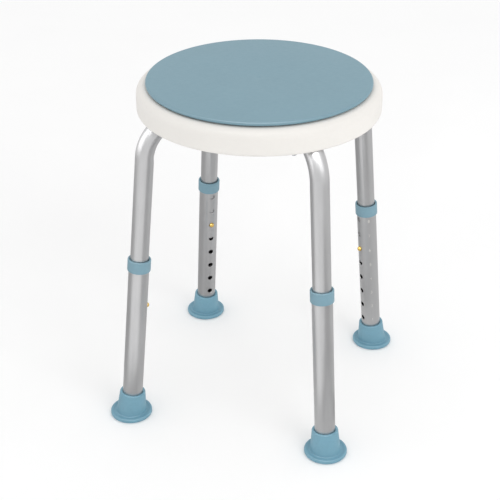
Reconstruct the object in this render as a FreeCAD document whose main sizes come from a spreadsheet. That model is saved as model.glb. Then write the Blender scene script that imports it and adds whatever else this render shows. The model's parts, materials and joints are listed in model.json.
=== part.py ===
import FreeCAD, Part
import os
import Sketcher
from FreeCAD import Placement, Rotation, Vector

# Height-adjustable stool with a swivelling disc on a hollow round seat.
# The frame stands on the floor at z = 0 with +Z up, the seat's axis is the Z axis and -Y is the front.
# Four bent upper tubes run in channels under the seat, and each slides in a lower tube that a spring
# button locks.  Pieces of a leg are drawn in one of two local frames:
#   radial frame: x points outwards from the stool's axis, z points up, origin at the stool's centre;
#   leg frame:    z points up along the leaning leg, x outwards, origin where the leg's axis meets the floor.

# Driving dimensions: alias, value (millimetres, or degrees where the name says lean or azimuth).
SIZES = [
    ("seat_height", 483.5),
    ("base_radius", 165.5),
    ("base_height", 34.3),
    ("base_top_round", 11.5),
    ("base_bottom_round", 4.0),
    ("base_wall", 3.0),
    ("base_rim_width", 25.5),
    ("deck_depth", 8.0),
    ("disc_inset", 13.0),
    ("disc_gap", 2.0),
    ("disc_thickness", 5.0),
    ("disc_edge_round", 1.8),
    ("disc_rib_thickness", 2.4),
    ("disc_rib_clearance", 1.4),
    ("disc_ring_inset", 12.0),
    ("disc_ring_clearance", 1.5),
    ("disc_hub_radius", 17.0),
    ("boss_radius", 31.0),
    ("drain_radius", 4.0),
    ("drain_circle", 128.0),
    ("race_width", 17.0),
    ("ball_radius", 2.5),
    ("ball_clearance", 0.05),
    ("cage_thickness", 1.4),
    ("cage_width", 9.0),
    ("cage_gap", 0.5),
    ("cage_clearance", 0.15),
    ("race_screw_radius", 1.5),
    ("race_screw_inset", 3.2),
    ("race_screw_grip", 2.4),
    ("race_screw_head", 1.2),
    ("race_screw_clearance", 0.2),
    ("pivot_radius", 6.0),
    ("pivot_running_clearance", 0.06),
    ("pivot_head_radius", 10.5),
    ("pivot_head_height", 5.5),
    ("pivot_head_round", 1.5),
    ("pivot_washer_clearance", 0.2),
    ("pivot_thread_radius", 4.0),
    ("pivot_thread_length", 8.0),
    ("bush_wall", 2.0),
    ("bush_flange_radius", 12.0),
    ("bush_flange_thickness", 2.0),
    ("thrust_washer_thickness", 1.0),
    ("thrust_clearance", 0.1),
    ("insert_radius", 6.5),
    ("insert_length", 7.6),
    ("washer_radius", 14.0),
    ("washer_thickness", 1.6),
    ("leg_lean", 5.4),
    ("azimuth_front_left", 206.3),
    ("azimuth_front_right", 296.7),
    ("azimuth_back_right", 28.7),
    ("azimuth_back_left", 114.4),
    ("foot_spread", 206.7),
    ("upper_tube_radius", 12.7),
    ("upper_tube_wall", 1.2),
    ("channel_roof", 7.3),
    ("channel_overrun", 59.5),
    ("run_inner_end", 34.0),
    ("bend_radius", 51.0),
    ("channel_clearance", 0.5),
    ("tube_slide_clearance", 0.3),
    ("lower_tube_wall", 1.3),
    ("lower_tube_above_holes", 22.45),
    ("locking_hole_clearance", 0.3),
    ("hole_pitch", 25.4),
    ("hole_lowest", 49.75),
    ("upper_tube_tail", 25.0),
    ("collar_wall", 1.9),
    ("collar_height", 17.7),
    ("collar_lip", 2.4),
    ("collar_slip", 0.45),
    ("collar_round", 1.1),
    ("button_radius", 3.5),
    ("button_hole_clearance", 0.2),
    ("button_proud", 3.6),
    ("button_dome_round", 2.5),
    ("button_flange_radius", 4.4),
    ("button_flange_drop", 1.3),
    ("button_flange_thickness", 1.3),
    ("spring_thickness", 0.6),
    ("spring_width", 7.6),
    ("spring_rise", 38.0),
    ("spring_fold_width", 4.4),
    ("spring_fold_thickness", 2.0),
    ("spring_clearance", 0.05),
    ("spring_brace_gap", 1.0),
    ("foot_flange_radius", 29.8),
    ("foot_flange_thickness", 6.4),
    ("foot_flange_round", 2.6),
    ("foot_root_radius", 24.0),
    ("foot_root_blend", 1.2),
    ("foot_waist_fullness", 0.3),
    ("foot_waist_radius", 21.3),
    ("foot_waist_height", 11.0),
    ("foot_top_radius", 18.2),
    ("foot_sleeve_top", 36.8),
    ("foot_bore_clearance", 0.05),
    ("foot_sole", 6.0),
    ("foot_washer_thickness", 1.5),
    ("foot_groove_depth", 1.2),
    ("foot_groove_width", 2.0),
    ("foot_groove_pitch", 6.0),
    ("bolt_radius", 3.0),
    ("bolt_hole_clearance", 0.4),
    ("bolt_from_bend", 18.0),
    ("bolt_inner_circle", 52.0),
    ("bolt_head_radius", 6.8),
    ("bolt_head_height", 3.4),
    ("crown_step", 0.6),
    ("bolt_washer_radius", 8.0),
    ("bolt_washer_thickness", 1.2),
    ("saddle_depth", 12.0),
    ("saddle_cheek", 5.0),
    ("saddle_length", 20.0),
    ("saddle_cheek_width", 3.4),
    ("saddle_clearance", 0.02),
    ("nut_across_flats", 10.0),
    ("nut_hex_height", 6.0),
    ("nut_height", 12.0),
    ("nut_crown_wall", 1.9),
    ("nut_dome_inset", 0.4),
    ("nut_tip_clearance", 0.1),
    ("plug_stem_clearance", 0.05),
    ("plug_flange_thickness", 1.2),
    ("plug_depth", 9.0),
]

# Counts, and the locking hole that the button sits in, numbered upwards from the floor.
HOLE_COUNT = 8
BUTTON_HOLE = 6
BALL_COUNT = 24
RIB_COUNT = 12
RACE_SCREW_COUNT = 4
FOOT_GROOVE_COUNT = 3
CORNERS = ["front_left", "front_right", "back_right", "back_left"]

# Heights and lengths that several pieces share, each written once in terms of the driving dimensions.
DISC_UNDER = "(size.seat_height - size.disc_thickness)"
BASE_TOP = "(" + DISC_UNDER + " - size.disc_gap)"
BASE_UNDER = "(" + BASE_TOP + " - size.base_height)"
DECK = "(" + BASE_TOP + " - size.deck_depth)"
DECK_RADIUS = "(size.base_radius - size.base_rim_width)"
DISC_RADIUS = "(size.base_radius - size.disc_inset)"
RING_RADIUS = "(" + DECK_RADIUS + " - size.disc_ring_inset)"
RUN_BELOW_DECK = "(size.channel_roof + size.channel_clearance + size.upper_tube_radius)"
RUN = "(" + DECK + " - " + RUN_BELOW_DECK + ")"
RUN_UNDER = "(" + RUN + " - size.upper_tube_radius)"
RACE_SPLIT = "((" + DECK + " + " + DISC_UNDER + ") / 2)"
BUSH_TOP = "(" + DECK + " + size.bush_flange_thickness)"
HUB_UNDER = "(" + BUSH_TOP + " + size.thrust_washer_thickness + size.thrust_clearance)"
KNEE = "(size.foot_spread - " + RUN + " * tan(size.leg_lean))"
BEND_START = "(" + KNEE + " - size.bend_radius * tan(45 - size.leg_lean / 2))"
BOLT_CIRCLES = ("(" + BEND_START + " - size.bolt_from_bend)", "size.bolt_inner_circle")
RACE_CIRCLE = "((" + BOLT_CIRCLES[0] + " + " + BOLT_CIRCLES[1] + ") / 2)"
RACE_INNER = "(" + RACE_CIRCLE + " - size.race_width / 2)"
RACE_OUTER = "(" + RACE_CIRCLE + " + size.race_width / 2)"
RACE_THICKNESS = "((" + DISC_UNDER + " - " + DECK + " - size.cage_thickness) / 2 - size.cage_gap)"
RACE_SCREW_CIRCLE = "(" + RACE_OUTER + " - size.race_screw_inset)"
RACE_HOLE = "(size.race_screw_radius + size.race_screw_clearance)"
RACE_SCREW_HEAD = "(size.race_screw_radius * 1.7)"
RACE_SINK = "(" + RACE_SCREW_HEAD + " + size.race_screw_clearance)"
WASHER_TOP = "(" + DECK + " + size.bolt_washer_thickness)"
RIB_UNDER = "(" + WASHER_TOP + " + size.bolt_head_height + size.disc_rib_clearance)"
BUTTON_ALONG = "(size.hole_lowest + size.hole_pitch * " + str(BUTTON_HOLE - 1) + ")"
UPPER_END = "(" + BUTTON_ALONG + " - size.upper_tube_tail)"
LOWER_END = "(size.foot_sole + size.foot_washer_thickness)"
HOLE_HIGHEST = "(size.hole_lowest + size.hole_pitch * " + str(HOLE_COUNT - 1) + ")"
LOWER_TOP = "(" + HOLE_HIGHEST + " + size.lower_tube_above_holes)"
LOWER_BORE = "(size.upper_tube_radius + size.tube_slide_clearance)"
LOWER_RADIUS = "(" + LOWER_BORE + " + size.lower_tube_wall)"
UPPER_BORE = "(size.upper_tube_radius - size.upper_tube_wall)"
CHANNEL = "(size.upper_tube_radius + size.channel_clearance)"
BOLT_HOLE = "(size.bolt_radius + size.bolt_hole_clearance)"
BUTTON_HOLE_RADIUS = "(size.button_radius + size.button_hole_clearance)"
LOCKING_HOLE_RADIUS = "(size.button_radius + size.locking_hole_clearance)"
CHANNEL_FOOT = "(" + BASE_UNDER + " - size.channel_overrun)"
PIVOT_BORE = "(size.pivot_radius + size.pivot_running_clearance)"
PIVOT_WASHER_BORE = "(size.pivot_radius + size.pivot_washer_clearance)"

doc = FreeCAD.newDocument("shower_stool")
sheet = doc.addObject("Spreadsheet::Sheet", "size")
for row, (alias, number) in enumerate(SIZES, start=1):
    sheet.set("A%d" % row, alias)
    sheet.set("B%d" % row, str(number))
    sheet.setAlias("B%d" % row, alias)
doc.recompute()

nodes = []


def value(text):
    """The number that an expression on the sheet has now."""
    return float(sheet.evalExpression(text))


def keep(piece, label):
    """Name a finished piece and list it for export."""
    piece.Label = label
    nodes.append(piece)
    return piece


def origin_plane(body, role):
    """The origin plane of a body that has the given role."""
    return [part for part in body.Origin.OriginFeatures if part.Role == role][0]


def new_body(name):
    """An empty PartDesign body."""
    return doc.addObject("PartDesign::Body", name)


def new_sketch(body, name, role="XZ_Plane", lift=None):
    """A sketch on an origin plane, lifted along the plane's normal by an expression."""
    sketch = body.newObject("Sketcher::SketchObject", name)
    sketch.AttachmentSupport = (origin_plane(body, role), [""])
    sketch.MapMode = "FlatFace"
    if lift is not None:
        sketch.setExpression(".AttachmentOffset.Base.z", lift)
    doc.recompute()
    return sketch


def bind(sketch, kind, where, text):
    """Add one dimension to a sketch and tie it to an expression."""
    index = sketch.addConstraint(Sketcher.Constraint(kind, *where, value(text)))
    sketch.setExpression("Constraints[%d]" % index, text)


def bind_point(sketch, geometry, end, across, up):
    """Fix one end of a curve by its two coordinates."""
    if across == "0":
        sketch.addConstraint(Sketcher.Constraint("PointOnObject", geometry, end, -2))
    else:
        bind(sketch, "DistanceX", (-1, 1, geometry, end), across)
    if up == "0":
        sketch.addConstraint(Sketcher.Constraint("PointOnObject", geometry, end, -1))
    else:
        bind(sketch, "DistanceY", (-1, 1, geometry, end), up)


def draw_outline(sketch, corners):
    """Draw a closed outline of straight lines through corners, given as pairs of expressions."""
    points = [Vector(value(across), value(up), 0) for across, up in corners]
    first = sketch.GeometryCount
    count = len(points)
    for i in range(count):
        sketch.addGeometry(Part.LineSegment(points[i], points[(i + 1) % count]))
    for i in range(count):
        follower = first + (i + 1) % count
        sketch.addConstraint(Sketcher.Constraint("Coincident", first + i, 2, follower, 1))
    for i, (across, up) in enumerate(corners):
        bind_point(sketch, first + i, 1, across, up)


def draw_circle(sketch, across, up, radius):
    """Draw a circle whose centre and radius are expressions."""
    centre = Vector(value(across), value(up), 0)
    index = sketch.addGeometry(Part.Circle(centre, Vector(0, 0, 1), value(radius)))
    bind_point(sketch, index, 3, across, up)
    bind(sketch, "Radius", (index,), radius)


def revolve(body, name, corners, kind="PartDesign::Revolution"):
    """Turn an outline in the XZ plane about the body's Z axis, as a solid or as a groove."""
    sketch = new_sketch(body, name + "_outline")
    draw_outline(sketch, corners)
    feature = body.newObject(kind, name)
    feature.Profile = (sketch, [""])
    feature.ReferenceAxis = (sketch, ["V_Axis"])
    feature.Angle = 360
    doc.recompute()
    return feature


def pad(body, name, sketch, length, both_ways=False):
    """Pad a sketch by a length that is an expression."""
    feature = body.newObject("PartDesign::Pad", name)
    feature.Profile = (sketch, [""])
    feature.setExpression("Length", length)
    feature.Midplane = both_ways
    doc.recompute()
    return feature


def pocket(body, name, sketch, length=None, reverse=False, both_ways=False):
    """Pocket a sketch, through everything where no length is given, and prove that it cut something."""
    before = body.Shape.Volume
    feature = body.newObject("PartDesign::Pocket", name)
    feature.Profile = (sketch, [""])
    feature.Reversed = reverse
    feature.Midplane = both_ways
    if length is None:
        feature.Type = "ThroughAll"
    else:
        feature.setExpression("Length", length)
    doc.recompute()
    if not body.Shape.Volume < before - 0.01:
        raise RuntimeError(name + " cut nothing")
    return feature


def polar(body, name, feature, count):
    """Repeat a feature evenly about the body's Z axis."""
    pattern = body.newObject("PartDesign::PolarPattern", name)
    pattern.Originals = [feature]
    axis = [part for part in body.Origin.OriginFeatures if part.Role == "Z_Axis"][0]
    pattern.Axis = (axis, [""])
    pattern.Angle = 360
    pattern.Occurrences = count
    body.Tip = pattern
    doc.recompute()
    return pattern


def round_rings(body, name, radius, rings):
    """Fillet the circular edges about the Z axis that lie at the given radii and heights."""
    tip = body.Tip
    picked = []
    for ring_radius, height in rings:
        for number, edge in enumerate(tip.Shape.Edges, start=1):
            if not isinstance(edge.Curve, Part.Circle):
                continue
            centre = edge.Curve.Center
            off_axis = abs(centre.x) + abs(centre.y)
            miss = abs(edge.Curve.Radius - value(ring_radius)) + abs(centre.z - value(height)) + off_axis
            if miss < 0.01:
                picked.append("Edge%d" % number)
    if len(picked) < len(rings):
        raise RuntimeError(name + " found too few edges")
    feature = body.newObject("PartDesign::Fillet", name)
    feature.Base = (tip, picked)
    feature.setExpression("Radius", radius)
    doc.recompute()
    return feature


def copies(label, piece, places):
    """One node that holds a separate solid of the same piece at each place."""
    solids = []
    for place in places:
        solid = piece.Shape.copy()
        solid.Placement = place.multiply(piece.Shape.Placement)
        solids.append(solid)
    group = doc.addObject("Part::Feature", label)
    group.Shape = Part.makeCompound(solids)
    group.Placement = Placement()
    return keep(group, label)


def radial_place(corner):
    """Where a corner's radial frame stands."""
    return Placement(Vector(), Rotation(Vector(0, 0, 1), value("size.azimuth_" + corner)))


def foot_place(corner):
    """Where a corner's foot stands: its axis upright, on the floor."""
    return radial_place(corner).multiply(Placement(Vector(value("size.foot_spread"), 0, 0), Rotation()))


def leg_place(corner):
    """Where a corner's leg frame stands: leaning in towards the seat."""
    lean = Placement(Vector(), Rotation(Vector(0, 1, 0), -value("size.leg_lean")))
    return foot_place(corner).multiply(lean)


def turned(angle):
    """A turn about the stool's axis."""
    return Placement(Vector(), Rotation(Vector(0, 0, 1), angle))


# ---------------------------------------------------------------- seat

def make_disc():
    """The swivelling disc: a plate with a ring, a hub and radial ribs underneath."""
    body = new_body("disc_body")
    plate = [("0", DISC_UNDER), (DISC_RADIUS, DISC_UNDER),
             (DISC_RADIUS, "size.seat_height"), ("0", "size.seat_height")]
    revolve(body, "disc_plate", plate)
    round_rings(body, "disc_edge", "size.disc_edge_round",
                [(DISC_RADIUS, "size.seat_height"), (DISC_RADIUS, DISC_UNDER)])
    ring_foot = DECK + " + size.disc_ring_clearance"
    ring_out = RING_RADIUS + " + size.disc_rib_thickness"
    ring = [(RING_RADIUS, ring_foot), (ring_out, ring_foot),
            (ring_out, DISC_UNDER + " + size.disc_thickness / 2"),
            (RING_RADIUS, DISC_UNDER + " + size.disc_thickness / 2")]
    revolve(body, "disc_ring", ring)
    hub = [("0", HUB_UNDER), ("size.disc_hub_radius", HUB_UNDER),
           ("size.disc_hub_radius", DISC_UNDER + " + size.disc_thickness / 2"),
           ("0", DISC_UNDER + " + size.disc_thickness / 2")]
    revolve(body, "disc_hub", hub)
    sketch = new_sketch(body, "disc_rib_outline", "XY_Plane", RIB_UNDER)
    rib_in = RACE_OUTER + " + size.disc_rib_thickness"
    draw_outline(sketch, [
        (rib_in, "-size.disc_rib_thickness / 2"),
        (RING_RADIUS + " + size.disc_rib_thickness / 2", "-size.disc_rib_thickness / 2"),
        (RING_RADIUS + " + size.disc_rib_thickness / 2", "size.disc_rib_thickness / 2"),
        (rib_in, "size.disc_rib_thickness / 2")])
    rib = pad(body, "disc_rib", sketch, DISC_UNDER + " - " + RIB_UNDER + " + size.disc_thickness / 2")
    polar(body, "disc_ribs", rib, RIB_COUNT)
    bore = [("0", HUB_UNDER), ("size.insert_radius", HUB_UNDER),
            ("size.insert_radius", HUB_UNDER + " + size.insert_length"),
            ("0", HUB_UNDER + " + size.insert_length")]
    revolve(body, "disc_insert_bore", bore, "PartDesign::Groove")
    holes = new_sketch(body, "disc_screw_holes", "XY_Plane", DISC_UNDER)
    draw_circle(holes, RACE_SCREW_CIRCLE, "0", "size.race_screw_radius")
    hole = pocket(body, "disc_screw_hole", holes, "size.race_screw_grip", reverse=True)
    polar(body, "disc_screw_pattern", hole, RACE_SCREW_COUNT)
    return keep(body, "swivel_disc")


def cut_channels(body, corner, extra, roof):
    """Cut one leg's channel: the bent tube's own path, and the slot below its straight run."""
    radius = "(" + CHANNEL + " + " + extra + ")"
    inner = "size.run_inner_end - size.channel_clearance - size.plug_flange_thickness - " + extra
    turn = value("size.azimuth_" + corner)
    path = new_sketch(body, "path_" + corner)
    path.AttachmentOffset = Placement(Vector(), Rotation(Vector(0, 1, 0), turn))
    path.setExpression(".AttachmentOffset.Rotation.Angle", "size.azimuth_" + corner)
    draw_leg_path(path, inner, "size.foot_spread - " + CHANNEL_FOOT + " * tan(size.leg_lean)", CHANNEL_FOOT)
    profile = new_sketch(body, "section_" + corner, "YZ_Plane")
    profile.AttachmentOffset = Placement(
        Rotation(Vector(0, 1, 0), turn).multVec(Vector(0, 0, value(inner))),
        Rotation(Vector(0, 1, 0), turn))
    draw_circle(profile, "0", RUN, radius)
    doc.recompute()
    sweep = body.newObject("PartDesign::SubtractivePipe", "channel_" + corner)
    sweep.Profile = (profile, [""])
    sweep.Spine = (path, [])
    doc.recompute()
    slot = new_sketch(body, "slot_outline_" + corner)
    slot.AttachmentOffset = Placement(Vector(), Rotation(Vector(0, 1, 0), turn))
    slot.setExpression(".AttachmentOffset.Rotation.Angle", "size.azimuth_" + corner)
    floor = BASE_UNDER + " - size.base_wall"
    out = BEND_START + " + size.bend_radius * cos(asin((" + BASE_UNDER + " - " + RUN
    out = out + " + size.bend_radius) / size.bend_radius))"
    draw_outline(slot, [(inner, floor), (out, floor), (out, BASE_UNDER), (BEND_START, roof), (inner, roof)])
    pocket(body, "slot_" + corner, slot, "2 * " + radius, both_ways=True)


def draw_leg_path(sketch, inner, last_across, last_up):
    """Draw the tube's centre line: the level run, the bend, and the leaning straight down to a point."""
    lean = value("size.leg_lean")
    radius = value("size.bend_radius")
    centre = Vector(value(BEND_START), value(RUN) - radius, 0)
    bend_foot = centre + radius * Rotation(Vector(0, 0, 1), lean).multVec(Vector(1, 0, 0))
    bend_head = Vector(value(BEND_START), value(RUN), 0)
    last = Vector(value(last_across), value(last_up), 0)
    start = Vector(value(inner), value(RUN), 0)
    bend_middle = centre + radius * Rotation(Vector(0, 0, 1), 45).multVec(Vector(1, 0, 0))
    sketch.addGeometry(Part.LineSegment(start, bend_head))
    sketch.addGeometry(Part.Arc(bend_foot, bend_middle, bend_head))
    sketch.addGeometry(Part.LineSegment(bend_foot, last))
    bind_point(sketch, 0, 1, inner, RUN)
    bind_point(sketch, 0, 2, BEND_START, RUN)
    bind(sketch, "Radius", (1,), "size.bend_radius")
    sketch.addConstraint(Sketcher.Constraint("Tangent", 0, 2, 1, 2))
    sketch.addConstraint(Sketcher.Constraint("Tangent", 1, 1, 2, 1))
    bind_point(sketch, 2, 2, last_across, last_up)
    doc.recompute()


def make_seat_base():
    """The hollow moulded seat: outer skin less its cavity, with a channel for each leg underneath."""
    body = new_body("seat_solid")
    revolve(body, "seat_outer", [
        ("0", BASE_UNDER), ("size.base_radius", BASE_UNDER), ("size.base_radius", BASE_TOP),
        (DECK_RADIUS, BASE_TOP), (DECK_RADIUS, DECK), ("0", DECK)])
    round_rings(body, "seat_top_edge", "size.base_top_round", [("size.base_radius", BASE_TOP)])
    round_rings(body, "seat_bottom_edge", "size.base_bottom_round", [("size.base_radius", BASE_UNDER)])
    for corner in CORNERS:
        cut_channels(body, corner, "0", RUN)
    bore = PIVOT_BORE + " + size.bush_wall"
    below = BASE_UNDER + " - 1"
    above = DECK + " + 1"
    revolve(body, "seat_pivot_bore", [
        ("0", below), (bore, below), (bore, above), ("0", above)], "PartDesign::Groove")
    for corner in CORNERS:
        sketch = new_sketch(body, "seat_bolt_holes_" + corner, "XY_Plane", RUN)
        turn = "size.azimuth_" + corner
        for circle in BOLT_CIRCLES:
            draw_circle(sketch, circle + " * cos(" + turn + ")", circle + " * sin(" + turn + ")", BOLT_HOLE)
        pocket(body, "seat_bolt_hole_" + corner, sketch, RUN_BELOW_DECK + " + 1", reverse=True)
    screws = new_sketch(body, "seat_screw_holes", "XY_Plane", DECK)
    draw_circle(screws, RACE_SCREW_CIRCLE, "0", "size.race_screw_radius")
    screw = pocket(body, "seat_screw_hole", screws, "size.race_screw_grip")
    polar(body, "seat_screw_pattern", screw, RACE_SCREW_COUNT)

    cavity = new_body("seat_cavity")
    wall = "size.base_wall"
    rim = "size.base_radius - " + wall
    revolve(cavity, "cavity_outer", [
        ("size.boss_radius", BASE_UNDER + " + " + wall), (rim, BASE_UNDER + " + " + wall),
        (rim, BASE_TOP + " - " + wall), (DECK_RADIUS + " + " + wall, BASE_TOP + " - " + wall),
        (DECK_RADIUS + " + " + wall, DECK + " - " + wall), ("size.boss_radius", DECK + " - " + wall)])
    round_rings(cavity, "cavity_top_edge", "size.base_top_round - " + wall, [(rim, BASE_TOP + " - " + wall)])
    round_rings(cavity, "cavity_bottom_edge", "size.base_bottom_round / 2", [(rim, BASE_UNDER + " + " + wall)])
    for corner in CORNERS:
        cut_channels(cavity, corner, wall, BASE_TOP)
    drain = new_sketch(cavity, "drain_outline", "XY_Plane", BASE_UNDER + " + " + wall)
    for corner, follower in zip(CORNERS, CORNERS[1:] + CORNERS[:1]):
        half = "(size.azimuth_" + corner + " + size.azimuth_" + follower + ") / 2"
        if value("size.azimuth_" + follower) < value("size.azimuth_" + corner):
            half = "(" + half + " + 180)"
        across = "size.drain_circle * cos(" + half + ")"
        up = "size.drain_circle * sin(" + half + ")"
        draw_circle(drain, across, up, "size.drain_radius")
    feature = pad(cavity, "drain_holes", drain, wall + " + 1")
    feature.Reversed = True
    doc.recompute()

    shell = doc.addObject("Part::Cut", "seat_shell")
    shell.Base = body
    shell.Tool = cavity
    doc.recompute()
    return keep(shell, "seat_base")


# ---------------------------------------------------------------- swivel

def make_race(label, back, face, faces_up):
    """One race of the swivel: a flat ring with half of the balls' groove and countersunk screw holes."""
    body = new_body(label + "_body")
    revolve(body, label + "_ring", [
        (RACE_INNER, back), (RACE_OUTER, back), (RACE_OUTER, face), (RACE_INNER, face)])
    cut_ball_path(body, label)
    for name, radius, start, depth, reverse in (
            ("_screw_hole", RACE_HOLE, back, None, faces_up),
            ("_screw_sink", RACE_SINK, face, "size.race_screw_head", not faces_up)):
        sketch = new_sketch(body, label + name + "_outline", "XY_Plane", start)
        draw_circle(sketch, RACE_SCREW_CIRCLE, "0", radius)
        hole = pocket(body, label + name, sketch, depth, reverse=reverse)
        polar(body, label + name + "_pattern", hole, RACE_SCREW_COUNT)
    return keep(body, label)


def cut_ball_path(body, label):
    """Cut the groove that the balls roll in."""
    sketch = new_sketch(body, label + "_ball_path")
    draw_circle(sketch, RACE_CIRCLE, RACE_SPLIT, "size.ball_radius + size.ball_clearance")
    groove = body.newObject("PartDesign::Groove", label + "_groove")
    groove.Profile = (sketch, [""])
    groove.ReferenceAxis = (sketch, ["V_Axis"])
    groove.Angle = 360
    doc.recompute()


def make_cage():
    """The thin ring that keeps the balls apart."""
    body = new_body("cage_body")
    inner = RACE_CIRCLE + " - size.cage_width / 2"
    outer = RACE_CIRCLE + " + size.cage_width / 2"
    low = RACE_SPLIT + " - size.cage_thickness / 2"
    high = RACE_SPLIT + " + size.cage_thickness / 2"
    revolve(body, "cage_ring", [(inner, low), (outer, low), (outer, high), (inner, high)])
    sketch = new_sketch(body, "cage_pocket_outline", "XY_Plane", low + " - 1")
    draw_circle(sketch, RACE_CIRCLE, "0", "size.ball_radius + size.cage_clearance")
    hole = pocket(body, "cage_pocket", sketch, "size.cage_thickness + 2", reverse=True)
    polar(body, "cage_pockets", hole, BALL_COUNT)
    return keep(body, "bearing_cage")


def make_balls():
    """The ring of bearing balls."""
    ball = doc.addObject("Part::Sphere", "ball")
    ball.setExpression("Radius", "size.ball_radius")
    doc.recompute()
    place = Placement(Vector(value(RACE_CIRCLE), 0, value(RACE_SPLIT)), Rotation())
    return copies("bearing_balls", ball, [
        turned(360.0 * i / BALL_COUNT).multiply(place) for i in range(BALL_COUNT)])


def make_screws(label, head_height, up):
    """Short pan-head screws that hold a race, with their heads sunk in the race."""
    body = new_body(label + "_body")
    tip = RACE_THICKNESS + " + size.race_screw_grip"
    revolve(body, label + "_profile", [
        ("0", "0"), (RACE_SCREW_HEAD, "0"), (RACE_SCREW_HEAD, "size.race_screw_head"),
        ("size.race_screw_radius", "size.race_screw_head"), ("size.race_screw_radius", tip), ("0", tip)])
    flip = Rotation() if up else Rotation(Vector(1, 0, 0), 180)
    place = Placement(Vector(value(RACE_SCREW_CIRCLE), 0, value(head_height)), flip)
    return copies(label, body, [
        turned(360.0 * i / RACE_SCREW_COUNT).multiply(place) for i in range(RACE_SCREW_COUNT)])


def make_pivot():
    """The swivel's centre: shoulder bolt, moulded-in insert, bush and washers."""
    bolt = new_body("pivot_bolt_body")
    head_top = BASE_UNDER + " - size.washer_thickness"
    head_low = "(" + head_top + " - size.pivot_head_height)"
    shoulder_top = "(" + HUB_UNDER + " - size.thrust_clearance / 2)"
    thread_top = "(" + shoulder_top + " + size.pivot_thread_length - 1)"
    revolve(bolt, "pivot_profile", [
        ("0", head_low), ("size.pivot_head_radius", head_low), ("size.pivot_head_radius", head_top),
        ("size.pivot_radius", head_top), ("size.pivot_radius", shoulder_top),
        ("size.pivot_thread_radius", shoulder_top), ("size.pivot_thread_radius", thread_top),
        ("0", thread_top)])
    round_rings(bolt, "pivot_head_edge", "size.pivot_head_round", [("size.pivot_head_radius", head_low)])
    keep(bolt, "pivot_bolt")

    washer = new_body("pivot_washer_body")
    revolve(washer, "pivot_washer_profile", [
        (PIVOT_WASHER_BORE, head_top), ("size.washer_radius", head_top),
        ("size.washer_radius", BASE_UNDER), (PIVOT_WASHER_BORE, BASE_UNDER)])
    keep(washer, "pivot_washer")

    bush = new_body("pivot_bush_body")
    barrel = PIVOT_BORE + " + size.bush_wall"
    revolve(bush, "pivot_bush_profile", [
        (PIVOT_BORE, BASE_UNDER), (barrel, BASE_UNDER), (barrel, DECK),
        ("size.bush_flange_radius", DECK), ("size.bush_flange_radius", BUSH_TOP), (PIVOT_BORE, BUSH_TOP)])
    keep(bush, "pivot_bush")

    thrust = new_body("thrust_washer_body")
    revolve(thrust, "thrust_washer_profile", [
        (PIVOT_WASHER_BORE, BUSH_TOP), ("size.bush_flange_radius", BUSH_TOP),
        ("size.bush_flange_radius", BUSH_TOP + " + size.thrust_washer_thickness"),
        (PIVOT_WASHER_BORE, BUSH_TOP + " + size.thrust_washer_thickness")])
    keep(thrust, "thrust_washer")

    insert = new_body("pivot_insert_body")
    revolve(insert, "pivot_insert_profile", [
        ("size.pivot_thread_radius", HUB_UNDER), ("size.insert_radius", HUB_UNDER),
        ("size.insert_radius", HUB_UNDER + " + size.insert_length"),
        ("size.pivot_thread_radius", HUB_UNDER + " + size.insert_length")])
    keep(insert, "pivot_insert")


# ---------------------------------------------------------------- legs

def make_upper_tube(corner):
    """A bent upper leg tube, in the radial frame: level run, bend, leaning straight, and its holes."""
    body = new_body("upper_tube_body_" + corner)
    path = new_sketch(body, "upper_path_" + corner)
    last_up = UPPER_END + " * cos(size.leg_lean)"
    last_across = "size.foot_spread - " + UPPER_END + " * sin(size.leg_lean)"
    draw_leg_path(path, "size.run_inner_end", last_across, last_up)
    profile = new_sketch(body, "upper_section_" + corner, "YZ_Plane", "size.run_inner_end")
    draw_circle(profile, "0", RUN, "size.upper_tube_radius")
    draw_circle(profile, "0", RUN, UPPER_BORE)
    doc.recompute()
    tube = body.newObject("PartDesign::AdditivePipe", "upper_tube_sweep_" + corner)
    tube.Profile = (profile, [""])
    tube.Spine = (path, [])
    doc.recompute()
    bolts = new_sketch(body, "upper_bolt_holes_" + corner, "XY_Plane", RUN_UNDER + " - 1")
    for circle in BOLT_CIRCLES:
        draw_circle(bolts, circle, "0", BOLT_HOLE)
    pocket(body, "upper_bolt_hole_" + corner, bolts, "2 * size.upper_tube_radius + 2", reverse=True)
    side = new_sketch(body, "upper_button_hole_outline_" + corner, "YZ_Plane", "size.foot_spread")
    side.AttachmentOffset = Placement(
        Vector(0, 0, value("size.foot_spread")), Rotation(Vector(1, 0, 0), -value("size.leg_lean")))
    draw_circle(side, "0", BUTTON_ALONG, BUTTON_HOLE_RADIUS)
    pocket(body, "upper_button_hole_" + corner, side, "size.upper_tube_radius + 1")
    body.Placement = radial_place(corner)
    return keep(body, "upper_leg_tube_" + corner)


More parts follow.
